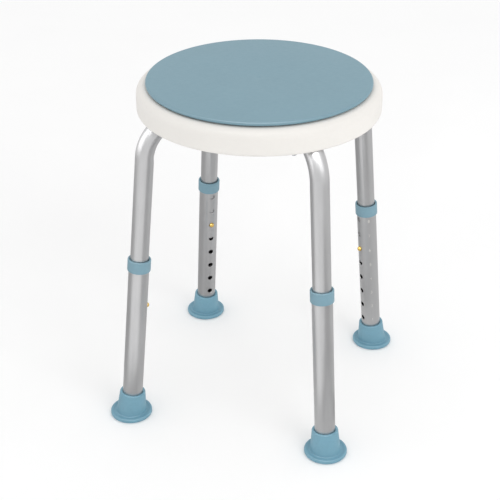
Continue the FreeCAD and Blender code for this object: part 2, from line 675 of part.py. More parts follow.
def make_lower_tube(corner):
    """A straight lower leg tube, in the leg frame, with its row of locking holes on the inner side."""
    body = new_body("lower_tube_body_" + corner)
    ring = new_sketch(body, "lower_section_" + corner, "XY_Plane", LOWER_END)
    draw_circle(ring, "0", "0", LOWER_RADIUS)
    draw_circle(ring, "0", "0", LOWER_BORE)
    pad(body, "lower_tube_" + corner, ring, LOWER_TOP + " - " + LOWER_END)
    side = new_sketch(body, "lowest_hole_outline_" + corner, "YZ_Plane")
    draw_circle(side, "0", "size.hole_lowest", LOCKING_HOLE_RADIUS)
    hole = pocket(body, "lowest_hole_" + corner, side, LOWER_RADIUS + " + 1")
    row = body.newObject("PartDesign::LinearPattern", "locking_holes_" + corner)
    row.Originals = [hole]
    axis = [part for part in body.Origin.OriginFeatures if part.Role == "Z_Axis"][0]
    row.Direction = (axis, [""])
    row.setExpression("Length", "size.hole_pitch * %d" % (HOLE_COUNT - 1))
    row.Occurrences = HOLE_COUNT
    body.Tip = row
    doc.recompute()
    body.Placement = leg_place(corner)
    return keep(body, "lower_leg_tube_" + corner)


def make_collar(corner):
    """The collar that caps a lower tube and guides the upper one."""
    body = new_body("collar_body_" + corner)
    outer = "(" + LOWER_RADIUS + " + size.collar_wall)"
    top = "(" + LOWER_TOP + " + size.collar_lip)"
    low = "(" + top + " - size.collar_height)"
    slip = "(size.upper_tube_radius + size.collar_slip)"
    revolve(body, "collar_profile_" + corner, [
        (LOWER_RADIUS, low), (outer, low), (outer, top), (slip, top), (slip, LOWER_TOP),
        (LOWER_RADIUS, LOWER_TOP)])
    round_rings(body, "collar_edge_" + corner, "size.collar_round", [(outer, top), (outer, low)])
    body.Placement = leg_place(corner)
    return keep(body, "leg_collar_" + corner)


def make_button(corner):
    """The domed spring button, drawn along its own axis and turned to point inwards."""
    body = new_body("button_body_" + corner)
    flange_top = "(" + UPPER_BORE + " - size.button_flange_drop)"
    flange_low = "(" + flange_top + " - size.button_flange_thickness)"
    crown = "(" + LOWER_RADIUS + " + size.button_proud)"
    revolve(body, "button_profile_" + corner, [
        ("0", flange_low), ("size.button_flange_radius", flange_low),
        ("size.button_flange_radius", flange_top), ("size.button_radius", flange_top),
        ("size.button_radius", crown), ("0", crown)])
    round_rings(body, "button_dome_" + corner, "size.button_dome_round", [("size.button_radius", crown)])
    inwards = Placement(Vector(0, 0, value(BUTTON_ALONG)), Rotation(Vector(0, 1, 0), -90))
    body.Placement = leg_place(corner).multiply(inwards)
    return keep(body, "snap_button_" + corner)


def make_button_spring(corner):
    """The folded leaf spring in the upper tube, in the leg frame: one leaf behind the button, one braced."""
    body = new_body("spring_body_" + corner)
    sketch = new_sketch(body, "spring_outline_" + corner)
    button_back = UPPER_BORE + " - size.button_flange_drop - size.button_flange_thickness"
    leaf = "(" + button_back + " - size.spring_clearance)"
    brace = "(" + UPPER_BORE + " - size.spring_brace_gap)"
    low = BUTTON_ALONG + " - size.button_flange_radius"
    fold = "(" + BUTTON_ALONG + " + size.spring_rise)"
    fold_inside = fold + " - size.spring_fold_thickness"
    outside = "size.spring_fold_width / 2"
    inside = "(size.spring_fold_width / 2 - size.spring_thickness)"
    thick = "size.spring_thickness"
    draw_outline(sketch, [
        ("-" + leaf, low), ("-" + leaf + " + " + thick, low),
        ("-" + leaf + " + " + thick, BUTTON_ALONG + " + size.button_flange_radius"),
        ("-" + inside, fold_inside), (inside, fold_inside), (brace + " - " + thick, BUTTON_ALONG),
        (brace + " - " + thick, low), (brace, low), (brace, BUTTON_ALONG),
        (outside, fold), ("-" + outside, fold),
        ("-" + leaf, BUTTON_ALONG + " + size.button_flange_radius")])
    pad(body, "spring_strip_" + corner, sketch, "size.spring_width", both_ways=True)
    body.Placement = leg_place(corner)
    return keep(body, "button_spring_" + corner)


def make_foot(corner):
    """The rubber foot: a flat flange on the floor and a flared sleeve that leans with the leg."""
    body = new_body("foot_body_" + corner)
    revolve(body, "foot_flange_" + corner, [
        ("0", "0"), ("size.foot_flange_radius", "0"),
        ("size.foot_flange_radius", "size.foot_flange_thickness"), ("0", "size.foot_flange_thickness")])
    round_rings(body, "foot_flange_edge_" + corner, "size.foot_flange_round", [
        ("size.foot_flange_radius", "0"), ("size.foot_flange_radius", "size.foot_flange_thickness")])
    sections = [
        ("0.5 * size.foot_flange_thickness", "size.foot_root_radius + size.foot_root_blend", 0.0),
        ("size.foot_flange_thickness + size.foot_root_blend / 2",
         "size.foot_root_radius - size.foot_root_blend", 0.2),
        ("(size.foot_flange_thickness + size.foot_waist_height) / 2",
         "size.foot_root_radius * 0.25 + size.foot_waist_radius * 0.75 + size.foot_waist_fullness", 0.5),
        ("size.foot_waist_height", "size.foot_waist_radius", 0.8),
        ("size.foot_sleeve_top", "size.foot_top_radius", 1.0)]
    loft_sketches = []
    for number, (height, radius, share) in enumerate(sections):
        sketch = new_sketch(body, "foot_ring_%d_%s" % (number, corner), "XY_Plane")
        along = value(height)
        lean = value("size.leg_lean")
        tilt = Rotation(Vector(0, 1, 0), -lean)
        centre = tilt.multVec(Vector(0, 0, along))
        sketch.AttachmentOffset = Placement(centre, Rotation(Vector(0, 1, 0), -lean * share))
        draw_circle(sketch, "0", "0", radius)
        loft_sketches.append(sketch)
    doc.recompute()
    loft = body.newObject("PartDesign::AdditiveLoft", "foot_sleeve_" + corner)
    loft.Ruled = True
    loft.Profile = (loft_sketches[0], [""])
    loft.Sections = [(sketch, [""]) for sketch in loft_sketches[1:]]
    doc.recompute()
    bore = new_sketch(body, "foot_bore_outline_" + corner, "XY_Plane")
    tilt = Rotation(Vector(0, 1, 0), -value("size.leg_lean"))
    top = value("size.foot_sleeve_top") + 3
    bore.AttachmentOffset = Placement(tilt.multVec(Vector(0, 0, top)), tilt)
    draw_circle(bore, "0", "0", LOWER_RADIUS + " + size.foot_bore_clearance")
    pocket(body, "foot_bore_" + corner, bore, "size.foot_sleeve_top + 3 - size.foot_sole")
    grooves = new_sketch(body, "foot_groove_outline_" + corner, "XY_Plane")
    for number in range(1, FOOT_GROOVE_COUNT + 1):
        inner = "size.foot_flange_radius - %d * size.foot_groove_pitch" % number
        draw_circle(grooves, "0", "0", inner)
        draw_circle(grooves, "0", "0", inner + " + size.foot_groove_width")
    pocket(body, "foot_grooves_" + corner, grooves, "size.foot_groove_depth", reverse=True)
    body.Placement = foot_place(corner)
    return keep(body, "rubber_foot_" + corner)


def make_foot_washer(corner):
    """The steel disc that keeps the tube from cutting through the foot, in the leg frame."""
    washer = doc.addObject("Part::Cylinder", "foot_washer_" + corner)
    washer.setExpression("Radius", LOWER_RADIUS + " - size.foot_bore_clearance")
    washer.setExpression("Height", "size.foot_washer_thickness")
    doc.recompute()
    on_sole = Placement(Vector(0, 0, value("size.foot_sole")), Rotation())
    washer.Placement = leg_place(corner).multiply(on_sole)
    return keep(washer, "foot_washer_" + corner)


def bolt_places():
    """The axis of every leg bolt, as a placement with z up and x along the tube."""
    places = []
    for corner in CORNERS:
        for circle in BOLT_CIRCLES:
            along = Placement(Vector(value(circle), 0, 0), Rotation())
            places.append(radial_place(corner).multiply(along))
    return places


def make_leg_fasteners():
    """Bolts through the deck and each tube, with washers, saddles and dome nuts."""
    saddle_low = "(" + RUN_UNDER + " - size.saddle_depth)"
    nut_top = "(" + saddle_low + " - size.bolt_washer_thickness)"
    crown = "(" + nut_top + " - size.nut_height)"
    thread_end = "(" + crown + " + size.nut_crown_wall)"
    places = bolt_places()

    bolt = new_body("leg_bolt_body")
    tip = thread_end + " + size.nut_tip_clearance"
    head_top = WASHER_TOP + " + size.bolt_head_height"
    revolve(bolt, "leg_bolt_profile", [
        ("0", tip), ("size.bolt_radius", tip), ("size.bolt_radius", WASHER_TOP),
        ("size.bolt_head_radius", WASHER_TOP), ("size.bolt_head_radius", head_top), ("0", head_top)])
    round_rings(bolt, "leg_bolt_crown", "size.bolt_head_height - size.crown_step", [
        ("size.bolt_head_radius", head_top)])
    copies("leg_bolts", bolt, places)

    for label, low, high in (("deck_washers", DECK, WASHER_TOP), ("nut_washers", nut_top, saddle_low)):
        washer = new_body(label + "_body")
        revolve(washer, label + "_profile", [
            (BOLT_HOLE, low), ("size.bolt_washer_radius", low), ("size.bolt_washer_radius", high),
            (BOLT_HOLE, high)])
        copies(label, washer, places)

    saddle = new_body("saddle_body")
    block = new_sketch(saddle, "saddle_outline", "XY_Plane", saddle_low)
    half_length = "size.saddle_length / 2"
    half_width = "(size.upper_tube_radius - size.saddle_cheek_width / 2)"
    draw_outline(block, [
        ("-" + half_length, "-" + half_width), (half_length, "-" + half_width),
        (half_length, half_width), ("-" + half_length, half_width)])
    pad(saddle, "saddle_block", block, "size.saddle_depth + size.saddle_cheek")
    seat = new_sketch(saddle, "saddle_seat_outline", "YZ_Plane")
    draw_circle(seat, "0", RUN, "size.upper_tube_radius + size.saddle_clearance")
    pocket(saddle, "saddle_seat", seat, "size.saddle_length + 2", both_ways=True)
    hole = new_sketch(saddle, "saddle_hole_outline", "XY_Plane", saddle_low)
    draw_circle(hole, "0", "0", BOLT_HOLE)
    pocket(saddle, "saddle_hole", hole, "size.saddle_depth + size.saddle_cheek", reverse=True)
    copies("tube_saddles", saddle, places)

    nut = new_body("dome_nut_body")
    flats = new_sketch(nut, "nut_outline", "XY_Plane", nut_top + " - size.nut_hex_height")
    reach = "size.nut_across_flats / 2 / cos(30)"
    draw_outline(flats, [(reach + " * cos(%d)" % turn, reach + " * sin(%d)" % turn)
                         for turn in (30, 90, 150, 210, 270, 330)])
    pad(nut, "nut_hex", flats, "size.nut_hex_height")
    dome = "(size.nut_across_flats / 2 - size.nut_dome_inset)"
    revolve(nut, "nut_dome", [
        ("0", crown), (dome, crown), (dome, nut_top + " - size.nut_hex_height / 2"),
        ("0", nut_top + " - size.nut_hex_height / 2")])
    round_rings(nut, "nut_crown", dome + " - size.crown_step", [(dome, crown)])
    revolve(nut, "nut_thread", [
        ("0", thread_end), ("size.bolt_radius", thread_end),
        ("size.bolt_radius", nut_top + " + 1"), ("0", nut_top + " + 1")], "PartDesign::Groove")
    copies("dome_nuts", nut, places)


def make_end_plugs():
    """The plastic plugs in the inner ends of the upper tubes."""
    body = new_body("end_plug_body")
    flange = "size.run_inner_end - size.plug_flange_thickness"
    for name, radius, length in (("plug_flange", "size.upper_tube_radius", "size.plug_flange_thickness"),
                                 ("plug_stem", UPPER_BORE + " - size.plug_stem_clearance",
                                  "size.plug_depth + size.plug_flange_thickness")):
        sketch = new_sketch(body, name + "_outline", "YZ_Plane", flange)
        draw_circle(sketch, "0", RUN, radius)
        pad(body, name, sketch, length)
    copies("tube_end_plugs", body, [radial_place(corner) for corner in CORNERS])


# ---------------------------------------------------------------- build and write

def main():
    """Build every piece, check it and write it to its own file."""
    make_disc()
    make_seat_base()
    make_race("lower_race", DECK, DECK + " + " + RACE_THICKNESS, True)
    make_race("upper_race", DISC_UNDER, DISC_UNDER + " - " + RACE_THICKNESS, False)
    make_cage()
    make_balls()
    make_screws("lower_race_screws", DECK + " + " + RACE_THICKNESS, False)
    make_screws("upper_race_screws", DISC_UNDER + " - " + RACE_THICKNESS, True)
    make_pivot()
    for corner in CORNERS:
        make_upper_tube(corner)
        make_lower_tube(corner)
        make_collar(corner)
        make_button(corner)
        make_button_spring(corner)
        make_foot(corner)
        make_foot_washer(corner)
    make_leg_fasteners()
    make_end_plugs()
    doc.recompute()

    for piece in doc.Objects:
        if "Invalid" in piece.State or "Error" in piece.State:
            raise RuntimeError("%s failed: %s" % (piece.Label, piece.State))
    os.makedirs("parts", exist_ok=True)
    for node in nodes:
        if node.Shape.isNull() or not node.Shape.isValid():
            raise RuntimeError(node.Label + " has no valid shape")
        node.Shape.exportStep("parts/" + node.Label + ".step")
        print("%-34s %10.1f mm3  %d solids" % (node.Label, node.Shape.Volume, len(node.Shape.Solids)))


main()
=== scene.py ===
import json
import logging
import math
from dataclasses import dataclass, field
from enum import Enum
from typing import Any, Protocol, Sequence

import bmesh
import bpy
import numpy as np
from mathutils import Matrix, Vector


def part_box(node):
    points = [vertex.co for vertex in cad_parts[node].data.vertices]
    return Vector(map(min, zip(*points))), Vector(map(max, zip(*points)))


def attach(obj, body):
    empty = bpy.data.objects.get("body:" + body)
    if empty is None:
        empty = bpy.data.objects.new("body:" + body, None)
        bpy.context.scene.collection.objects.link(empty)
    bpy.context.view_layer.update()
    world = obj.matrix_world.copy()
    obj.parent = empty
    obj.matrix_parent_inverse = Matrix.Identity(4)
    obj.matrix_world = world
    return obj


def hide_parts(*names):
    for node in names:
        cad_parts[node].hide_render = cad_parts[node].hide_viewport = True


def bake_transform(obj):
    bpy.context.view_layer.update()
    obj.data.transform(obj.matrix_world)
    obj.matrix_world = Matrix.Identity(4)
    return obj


# Looks of a height-adjustable stool: a swivelling disc on a round seat, four telescoping legs.
# Everything is in metres, +Z up, with the floor at z = 0, the seat's axis on Z and the front at -Y.
# Around a leg, an angle of zero points inwards to the stool's axis. Lengths run up the leg from the floor.

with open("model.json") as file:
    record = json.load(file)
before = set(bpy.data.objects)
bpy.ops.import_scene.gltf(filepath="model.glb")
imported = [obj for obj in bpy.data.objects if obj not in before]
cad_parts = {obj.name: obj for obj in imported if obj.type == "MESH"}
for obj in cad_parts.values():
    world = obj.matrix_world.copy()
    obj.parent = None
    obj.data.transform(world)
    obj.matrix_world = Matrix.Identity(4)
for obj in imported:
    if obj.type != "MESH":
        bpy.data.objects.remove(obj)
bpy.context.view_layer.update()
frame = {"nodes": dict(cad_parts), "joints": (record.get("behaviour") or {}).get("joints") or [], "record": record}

Array = np.ndarray
Colour = tuple[float, float, float]
Place = tuple[float, float, float]
Socket = bpy.types.NodeSocket
log = logging.getLogger("stool")

FULL_TURN = 2.0 * math.pi
ON_AXIS = 1e-9
TUBE_PLACE = "tube_place"


class Corner(Enum):
    """The four legs, named by where they stand."""

    FRONT_LEFT = "front_left"
    FRONT_RIGHT = "front_right"
    BACK_RIGHT = "back_right"
    BACK_LEFT = "back_left"


class Slot(Enum):
    """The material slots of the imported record."""

    DISC = "disc_plastic"
    SEAT = "seat_plastic"
    TUBE = "tube_aluminium"
    BRASS = "brass"
    FOOT = "foot_rubber"
    COLLAR = "collar_plastic"
    BEARING = "bearing_plastic"
    SPRING = "spring_steel"
    SADDLE = "saddle_plastic"
    ZINC = "zinc_steel"


class PatternSpace(Enum):
    """What a procedural pattern is measured in."""

    OBJECT = "object"
    TUBE = "tube"


# ---------------------------------------------------------------- finishes


class ShaderBench:
    """Lays the nodes of one material and links them."""

    def __init__(self, name: str) -> None:
        """Start a material with a Principled surface.

        Args:
            name: the material's name.
        """
        self.material = bpy.data.materials.new(name)
        self.material.use_nodes = True
        self.tree = self.material.node_tree
        self.tree.nodes.clear()
        self.surface = self.put("ShaderNodeBsdfPrincipled")
        output = self.put("ShaderNodeOutputMaterial")
        self.join(self.surface.outputs["BSDF"], output.inputs["Surface"])

    def put(self, kind: str, **settings: Any) -> bpy.types.Node:
        """Add a node.

        Args:
            kind: the node's type name.
            **settings: attributes to set on the node.

        Returns:
            The new node.
        """
        node = self.tree.nodes.new(kind)
        for name, setting in settings.items():
            setattr(node, name, setting)
        return node

    def join(self, source: Socket, target: Socket) -> None:
        """Link an output socket to an input socket."""
        self.tree.links.new(source, target)

    def place(self, space: PatternSpace, stretch: Sequence[float]) -> Socket:
        """Give the coordinates that a pattern follows.

        Args:
            space: the object's own space, or a bent tube's straightened space.
            stretch: how often the pattern repeats along each axis.

        Returns:
            The vector socket of the scaled coordinates.
        """
        mapping = self.put("ShaderNodeMapping")
        mapping.inputs["Scale"].default_value = tuple(stretch)
        if space is PatternSpace.TUBE:
            source = self.put("ShaderNodeAttribute", attribute_name=TUBE_PLACE).outputs["Vector"]
        else:
            source = self.put("ShaderNodeTexCoord").outputs["Object"]
        self.join(source, mapping.inputs["Vector"])
        return mapping.outputs["Vector"]

    def noise(self, where: Socket, scale: float, detail: float,
              roughness: float = 0.55) -> Socket:
        """Add a noise pattern.

        Args:
            where: the coordinates that it follows.
            scale: cells per unit of those coordinates.
            detail: how many finer layers it has.
            roughness: how strong the finer layers are.

        Returns:
            The socket of the noise value, from 0 to 1.
        """
        node = self.put("ShaderNodeTexNoise")
        node.inputs["Scale"].default_value = scale
        node.inputs["Detail"].default_value = detail
        node.inputs["Roughness"].default_value = roughness
        self.join(where, node.inputs["Vector"])
        return node.outputs["Fac"]

    def remap(self, source: Socket, low: float, high: float,
              from_low: float = 0.25, from_high: float = 0.75) -> Socket:
        """Stretch a pattern's range to low .. high.

        Args:
            source: the pattern.
            low: what from_low becomes.
            high: what from_high becomes.
            from_low: the lower end of the source's range.
            from_high: the upper end of the source's range.

        Returns:
            The socket of the new value, which stays inside low .. high.
        """
        node = self.put("ShaderNodeMapRange")
        node.inputs["From Min"].default_value = from_low
        node.inputs["From Max"].default_value = from_high
        node.inputs["To Min"].default_value = low
        node.inputs["To Max"].default_value = high
        self.join(source, node.inputs["Value"])
        return node.outputs["Result"]

    def mix(self, blend: str) -> tuple[Socket, list[Socket], Socket]:
        """Add a node that mixes two colours.

        Args:
            blend: how it mixes them.

        Returns:
            The socket of its factor, those of its two colours, and that of the result.
        """
        node = self.put("ShaderNodeMix", data_type="RGBA", blend_type=blend)
        colours = [socket for socket in node.inputs if socket.type == "RGBA"]
        result = [socket for socket in node.outputs if socket.type == "RGBA"][0]
        return node.inputs["Factor"], colours, result

    def shade(self, amount: Socket, first: Colour, second: Colour) -> Socket:
        """Blend two colours by a pattern.

        Args:
            amount: 0 gives the first colour, 1 the second.
            first: a linear colour.
            second: a linear colour.

        Returns:
            The socket of the blended colour.
        """
        factor, colours, result = self.mix("MIX")
        colours[0].default_value = (*first, 1.0)
        colours[1].default_value = (*second, 1.0)
        self.join(amount, factor)
        return result

    def darken(self, tone: Socket, mask: Socket) -> Socket:
        """Multiply a colour by a mask's colour and give the socket of the product."""
        factor, colours, result = self.mix("MULTIPLY")
        self.join(tone, colours[0])
        self.join(mask, colours[1])
        factor.default_value = 1.0
        return result

    def bump(self, height: Socket, depth: float, strength: float,
             under: Socket | None = None) -> Socket:
        """Turn a pattern into relief.

        Args:
            height: the pattern.
            depth: how far its high points stand out, in metres.
            strength: how much of the relief shows.
            under: the normal of a relief that lies below this one.

        Returns:
            The socket of the bumped normal.
        """
        node = self.put("ShaderNodeBump")
        node.inputs["Distance"].default_value = depth
        node.inputs["Strength"].default_value = strength
        self.join(height, node.inputs["Height"])
        if under is not None:
            self.join(under, node.inputs["Normal"])
        return node.outputs["Normal"]

    def drive(self, socket: str, source: Socket) -> None:
        """Let a pattern drive one of the surface's own inputs."""
        self.join(source, self.surface.inputs[socket])

    def number(self, socket: str, amount: float) -> None:
        """Set one of the surface's own numbers."""
        self.surface.inputs[socket].default_value = amount


def tinted(colour: Colour, factor: float) -> Colour:
    """Scale a colour's brightness."""
    return (colour[0] * factor, colour[1] * factor, colour[2] * factor)


class Finish(Protocol):
    """Anything that can make a material."""

    def make(self, name: str) -> bpy.types.Material:
        """Make the material."""


@dataclass(frozen=True)
class MouldedFinish:
    """Injection-moulded plastic or rubber: fine grain from the mould, faint flow marks, satin to matte.

    Attributes:
        colour: linear base colour.
        variation: how far the tone drifts over a few centimetres.
        roughness: middle of the roughness range.
        roughness_spread: how far roughness drifts either way.
        grain_per_metre: cells of the mould's grain in one metre.
        grain_depth: height of the grain in metres.
        flow_depth: height of the slow waviness in metres.
        scuff: how much the tone lightens in fine rubbed marks.
        sheen: strength of the soft dusty sheen.
        specular: specular level.
        flow_per_metre: cells of the slow waviness in one metre.
        marks_per_metre: cells of the rubbed marks in one metre.
        marks_stretch: how the rubbed marks are squeezed along each axis.
    """

    colour: Colour
    variation: float = 0.03
    roughness: float = 0.5
    roughness_spread: float = 0.06
    grain_per_metre: float = 1100.0
    grain_depth: float = 0.00006
    flow_depth: float = 0.0002
    scuff: float = 0.04
    sheen: float = 0.0
    specular: float = 0.5
    flow_per_metre: float = 14.0
    marks_per_metre: float = 120.0
    marks_stretch: tuple[float, float, float] = (1.0, 3.4, 2.1)

    def make(self, name: str) -> bpy.types.Material:
        """Make the material.

        Args:
            name: the material's name.

        Returns:
            The finished material.
        """
        bench = ShaderBench(name)
        space = bench.place(PatternSpace.OBJECT, (1.0, 1.0, 1.0))
        flow = bench.noise(space, self.flow_per_metre, 3.0)
        grain = bench.noise(space, self.grain_per_metre, 2.0)
        marks = bench.noise(bench.place(PatternSpace.OBJECT, self.marks_stretch), self.marks_per_metre,
                            4.0, 0.7)
        tone = bench.shade(bench.remap(flow, 0.0, 1.0), tinted(self.colour, 1.0 - self.variation),
                           tinted(self.colour, 1.0 + self.variation))
        rubbed = bench.shade(bench.remap(marks, 0.0, 1.0, 0.35, 0.7), (1.0, 1.0, 1.0),
                             (1.0 - self.scuff,) * 3)
        bench.drive("Base Color", bench.darken(tone, rubbed))
        bench.drive("Roughness", bench.remap(marks, self.roughness - self.roughness_spread,
                                             self.roughness + self.roughness_spread))
        waves = bench.bump(flow, self.flow_depth, 0.6)
        bench.drive("Normal", bench.bump(grain, self.grain_depth, 1.0, waves))
        bench.number("Specular IOR Level", self.specular)
        bench.number("Sheen Weight", self.sheen)
        return bench.material


@dataclass(frozen=True)
class DrawnTubeFinish:
    """Satin anodised aluminium tube: fine lines drawn along its length, slow tone drift, tiny handling marks.

    Attributes:
        colour: linear base colour of the anodised surface.
        roughness: middle of the roughness range.
        line_depth: height of the drawn lines in metres.
        lines_per_metre: lines in one metre across the tube.
        lines_along: how often a line breaks in one metre along the tube.
        cloud_stretch: cells of the slow tone drift in one metre, along each axis.
        speck_stretch: cells of the handling marks in one metre, along each axis.
        variation: how far the tone drifts, and how much a drawn line darkens it.
    """

    colour: Colour
    roughness: float = 0.33
    line_depth: float = 0.000012
    lines_per_metre: float = 2600.0
    lines_along: float = 9.0
    cloud_stretch: tuple[float, float, float] = (60.0, 60.0, 16.0)
    speck_stretch: tuple[float, float, float] = (700.0, 700.0, 500.0)
    variation: float = 0.05

    def make(self, name: str) -> bpy.types.Material:
        """Make the material.

        Args:
            name: the material's name.

        Returns:
            The finished material.
        """
        bench = ShaderBench(name)
        across = self.lines_per_metre
        lines = bench.noise(bench.place(PatternSpace.TUBE, (across, across, self.lines_along)), 1.0, 2.0, 0.6)
        cloud = bench.noise(bench.place(PatternSpace.TUBE, self.cloud_stretch), 1.0, 3.0)
        specks = bench.noise(bench.place(PatternSpace.TUBE, self.speck_stretch), 1.0, 3.0, 0.7)
        tone = bench.shade(bench.remap(cloud, 0.0, 1.0), tinted(self.colour, 1.0 - self.variation),
                           tinted(self.colour, 1.0 + self.variation))
        streaks = bench.shade(bench.remap(lines, 0.0, 1.0), (1.0 - self.variation,) * 3, (1.0, 1.0, 1.0))
        bench.drive("Base Color", bench.darken(tone, streaks))
        bench.drive("Roughness", bench.remap(specks, self.roughness - 0.04, self.roughness + 0.05))
        bench.drive("Normal", bench.bump(lines, self.line_depth, 0.7))
        bench.number("Metallic", 1.0)
        return bench.material


@dataclass(frozen=True)
class MetalFinish:
    """Small metal parts: plated, turned or rolled, with a faint mottled polish.

    Attributes:
        colour: linear base colour.
        roughness: middle of the roughness range.
        mottle: how far the tone drifts.
        mottle_per_metre: cells of the mottle in one metre.
        dent_depth: height of the slight unevenness in metres.
    """

    colour: Colour
    roughness: float = 0.25
    mottle: float = 0.08
    mottle_per_metre: float = 220.0
    dent_depth: float = 0.00003

    def make(self, name: str) -> bpy.types.Material:
        """Make the material.

        Args:
            name: the material's name.

        Returns:
            The finished material.
        """
        bench = ShaderBench(name)
        space = bench.place(PatternSpace.OBJECT, (1.0, 1.0, 1.0))
        mottle = bench.noise(space, self.mottle_per_metre, 4.0, 0.6)
        fine = bench.noise(space, self.mottle_per_metre * 6.0, 2.0)
        bench.drive("Base Color", bench.shade(bench.remap(mottle, 0.0, 1.0),
                                              tinted(self.colour, 1.0 - self.mottle),
                                              tinted(self.colour, 1.0 + self.mottle)))
        bench.drive("Roughness", bench.remap(fine, self.roughness * 0.75, self.roughness * 1.3))
        bench.drive("Normal", bench.bump(mottle, self.dent_depth, 0.6))
        bench.number("Metallic", 1.0)
        return bench.material


FINISHES: dict[Slot, Finish] = {
    Slot.DISC: MouldedFinish((0.184, 0.316, 0.380), variation=0.02, roughness=0.48, grain_per_metre=900.0,
                             grain_depth=0.00005, flow_depth=0.00012, scuff=0.03, specular=0.4),
    Slot.SEAT: MouldedFinish((0.805, 0.783, 0.748), variation=0.012, roughness=0.48, grain_per_metre=700.0,
                             grain_depth=0.00002, flow_depth=0.00025, scuff=0.015, specular=0.12),
    Slot.TUBE: DrawnTubeFinish((0.53, 0.53, 0.535)),
    Slot.BRASS: MetalFinish((0.86, 0.58, 0.17), roughness=0.2),
    Slot.FOOT: MouldedFinish((0.166, 0.350, 0.450), variation=0.04, roughness=0.45, grain_per_metre=1300.0,
                             grain_depth=0.00007, flow_depth=0.0002, scuff=0.06, specular=0.5),
    Slot.COLLAR: MouldedFinish((0.190, 0.336, 0.412), variation=0.03, roughness=0.45, grain_per_metre=1200.0,
                               grain_depth=0.00004, flow_depth=0.00015, scuff=0.04, specular=0.45),
    Slot.BEARING: MouldedFinish((0.78, 0.77, 0.73), roughness=0.35, scuff=0.05),
    Slot.SPRING: MetalFinish((0.42, 0.43, 0.46), roughness=0.3),
    Slot.SADDLE: MouldedFinish((0.028, 0.028, 0.03), roughness=0.5, scuff=0.12, variation=0.1),
    Slot.ZINC: MetalFinish((0.66, 0.67, 0.69), roughness=0.24, mottle=0.1),
}


class Paintbox:
    """Makes each finish once and hands it to the pieces."""

    def __init__(self) -> None:
        """Make every material."""
        self.materials = {slot: finish.make(slot.value) for slot, finish in FINISHES.items()}

    def dress_frame(self) -> None:
        """Give each CAD node the finish of its slot."""
        slots = {part["node"]: Slot(part["material_slot"]) for part in frame["record"]["subparts"]}
        for name, node in frame["nodes"].items():
            for socket in node.material_slots:
                socket.material = self.materials[slots[name]]
            log.info("node %s wears %s", name, slots[name].value)


# ---------------------------------------------------------------- surfaces


@dataclass(frozen=True)
class Axes:
    """A local frame: an origin and three unit directions.

    Attributes:
        origin: where the frame stands.
        across: its x direction.
        aside: its y direction.
        along: its z direction.
    """

    origin: Array
    across: Array
    aside: Array
    along: Array

    def turned_place(self, radius: Array, angle: Array, height: Array) -> Array:
        """Points of a turned shape.

        The point at an angle is the origin, plus the height along the axis, plus the radius times
        cosine across and sine aside.

        Args:
            radius: distance from the axis.
            angle: angle about the axis.
            height: distance along the axis.

        Returns:
            The points, with the coordinates last.
        """
        return (self.origin + (radius * np.cos(angle))[..., None] * self.across
                + (radius * np.sin(angle))[..., None] * self.aside + height[..., None] * self.along)


def ring_grid(outline: Array, steps: int) -> tuple[Array, Array, Array]:
    """Radius, angle and height of each point when an outline is turned, one row per ring."""
    angle = np.linspace(0.0, FULL_TURN, steps, endpoint=False)
    radius, turn = np.meshgrid(outline[:, 0], angle, indexing="ij")
    return radius, turn, np.repeat(outline[:, 1:2], steps, axis=1)


UPRIGHT = Axes(np.zeros(3), np.array([1.0, 0.0, 0.0]), np.array([0.0, 1.0, 0.0]), np.array([0.0, 0.0, 1.0]))


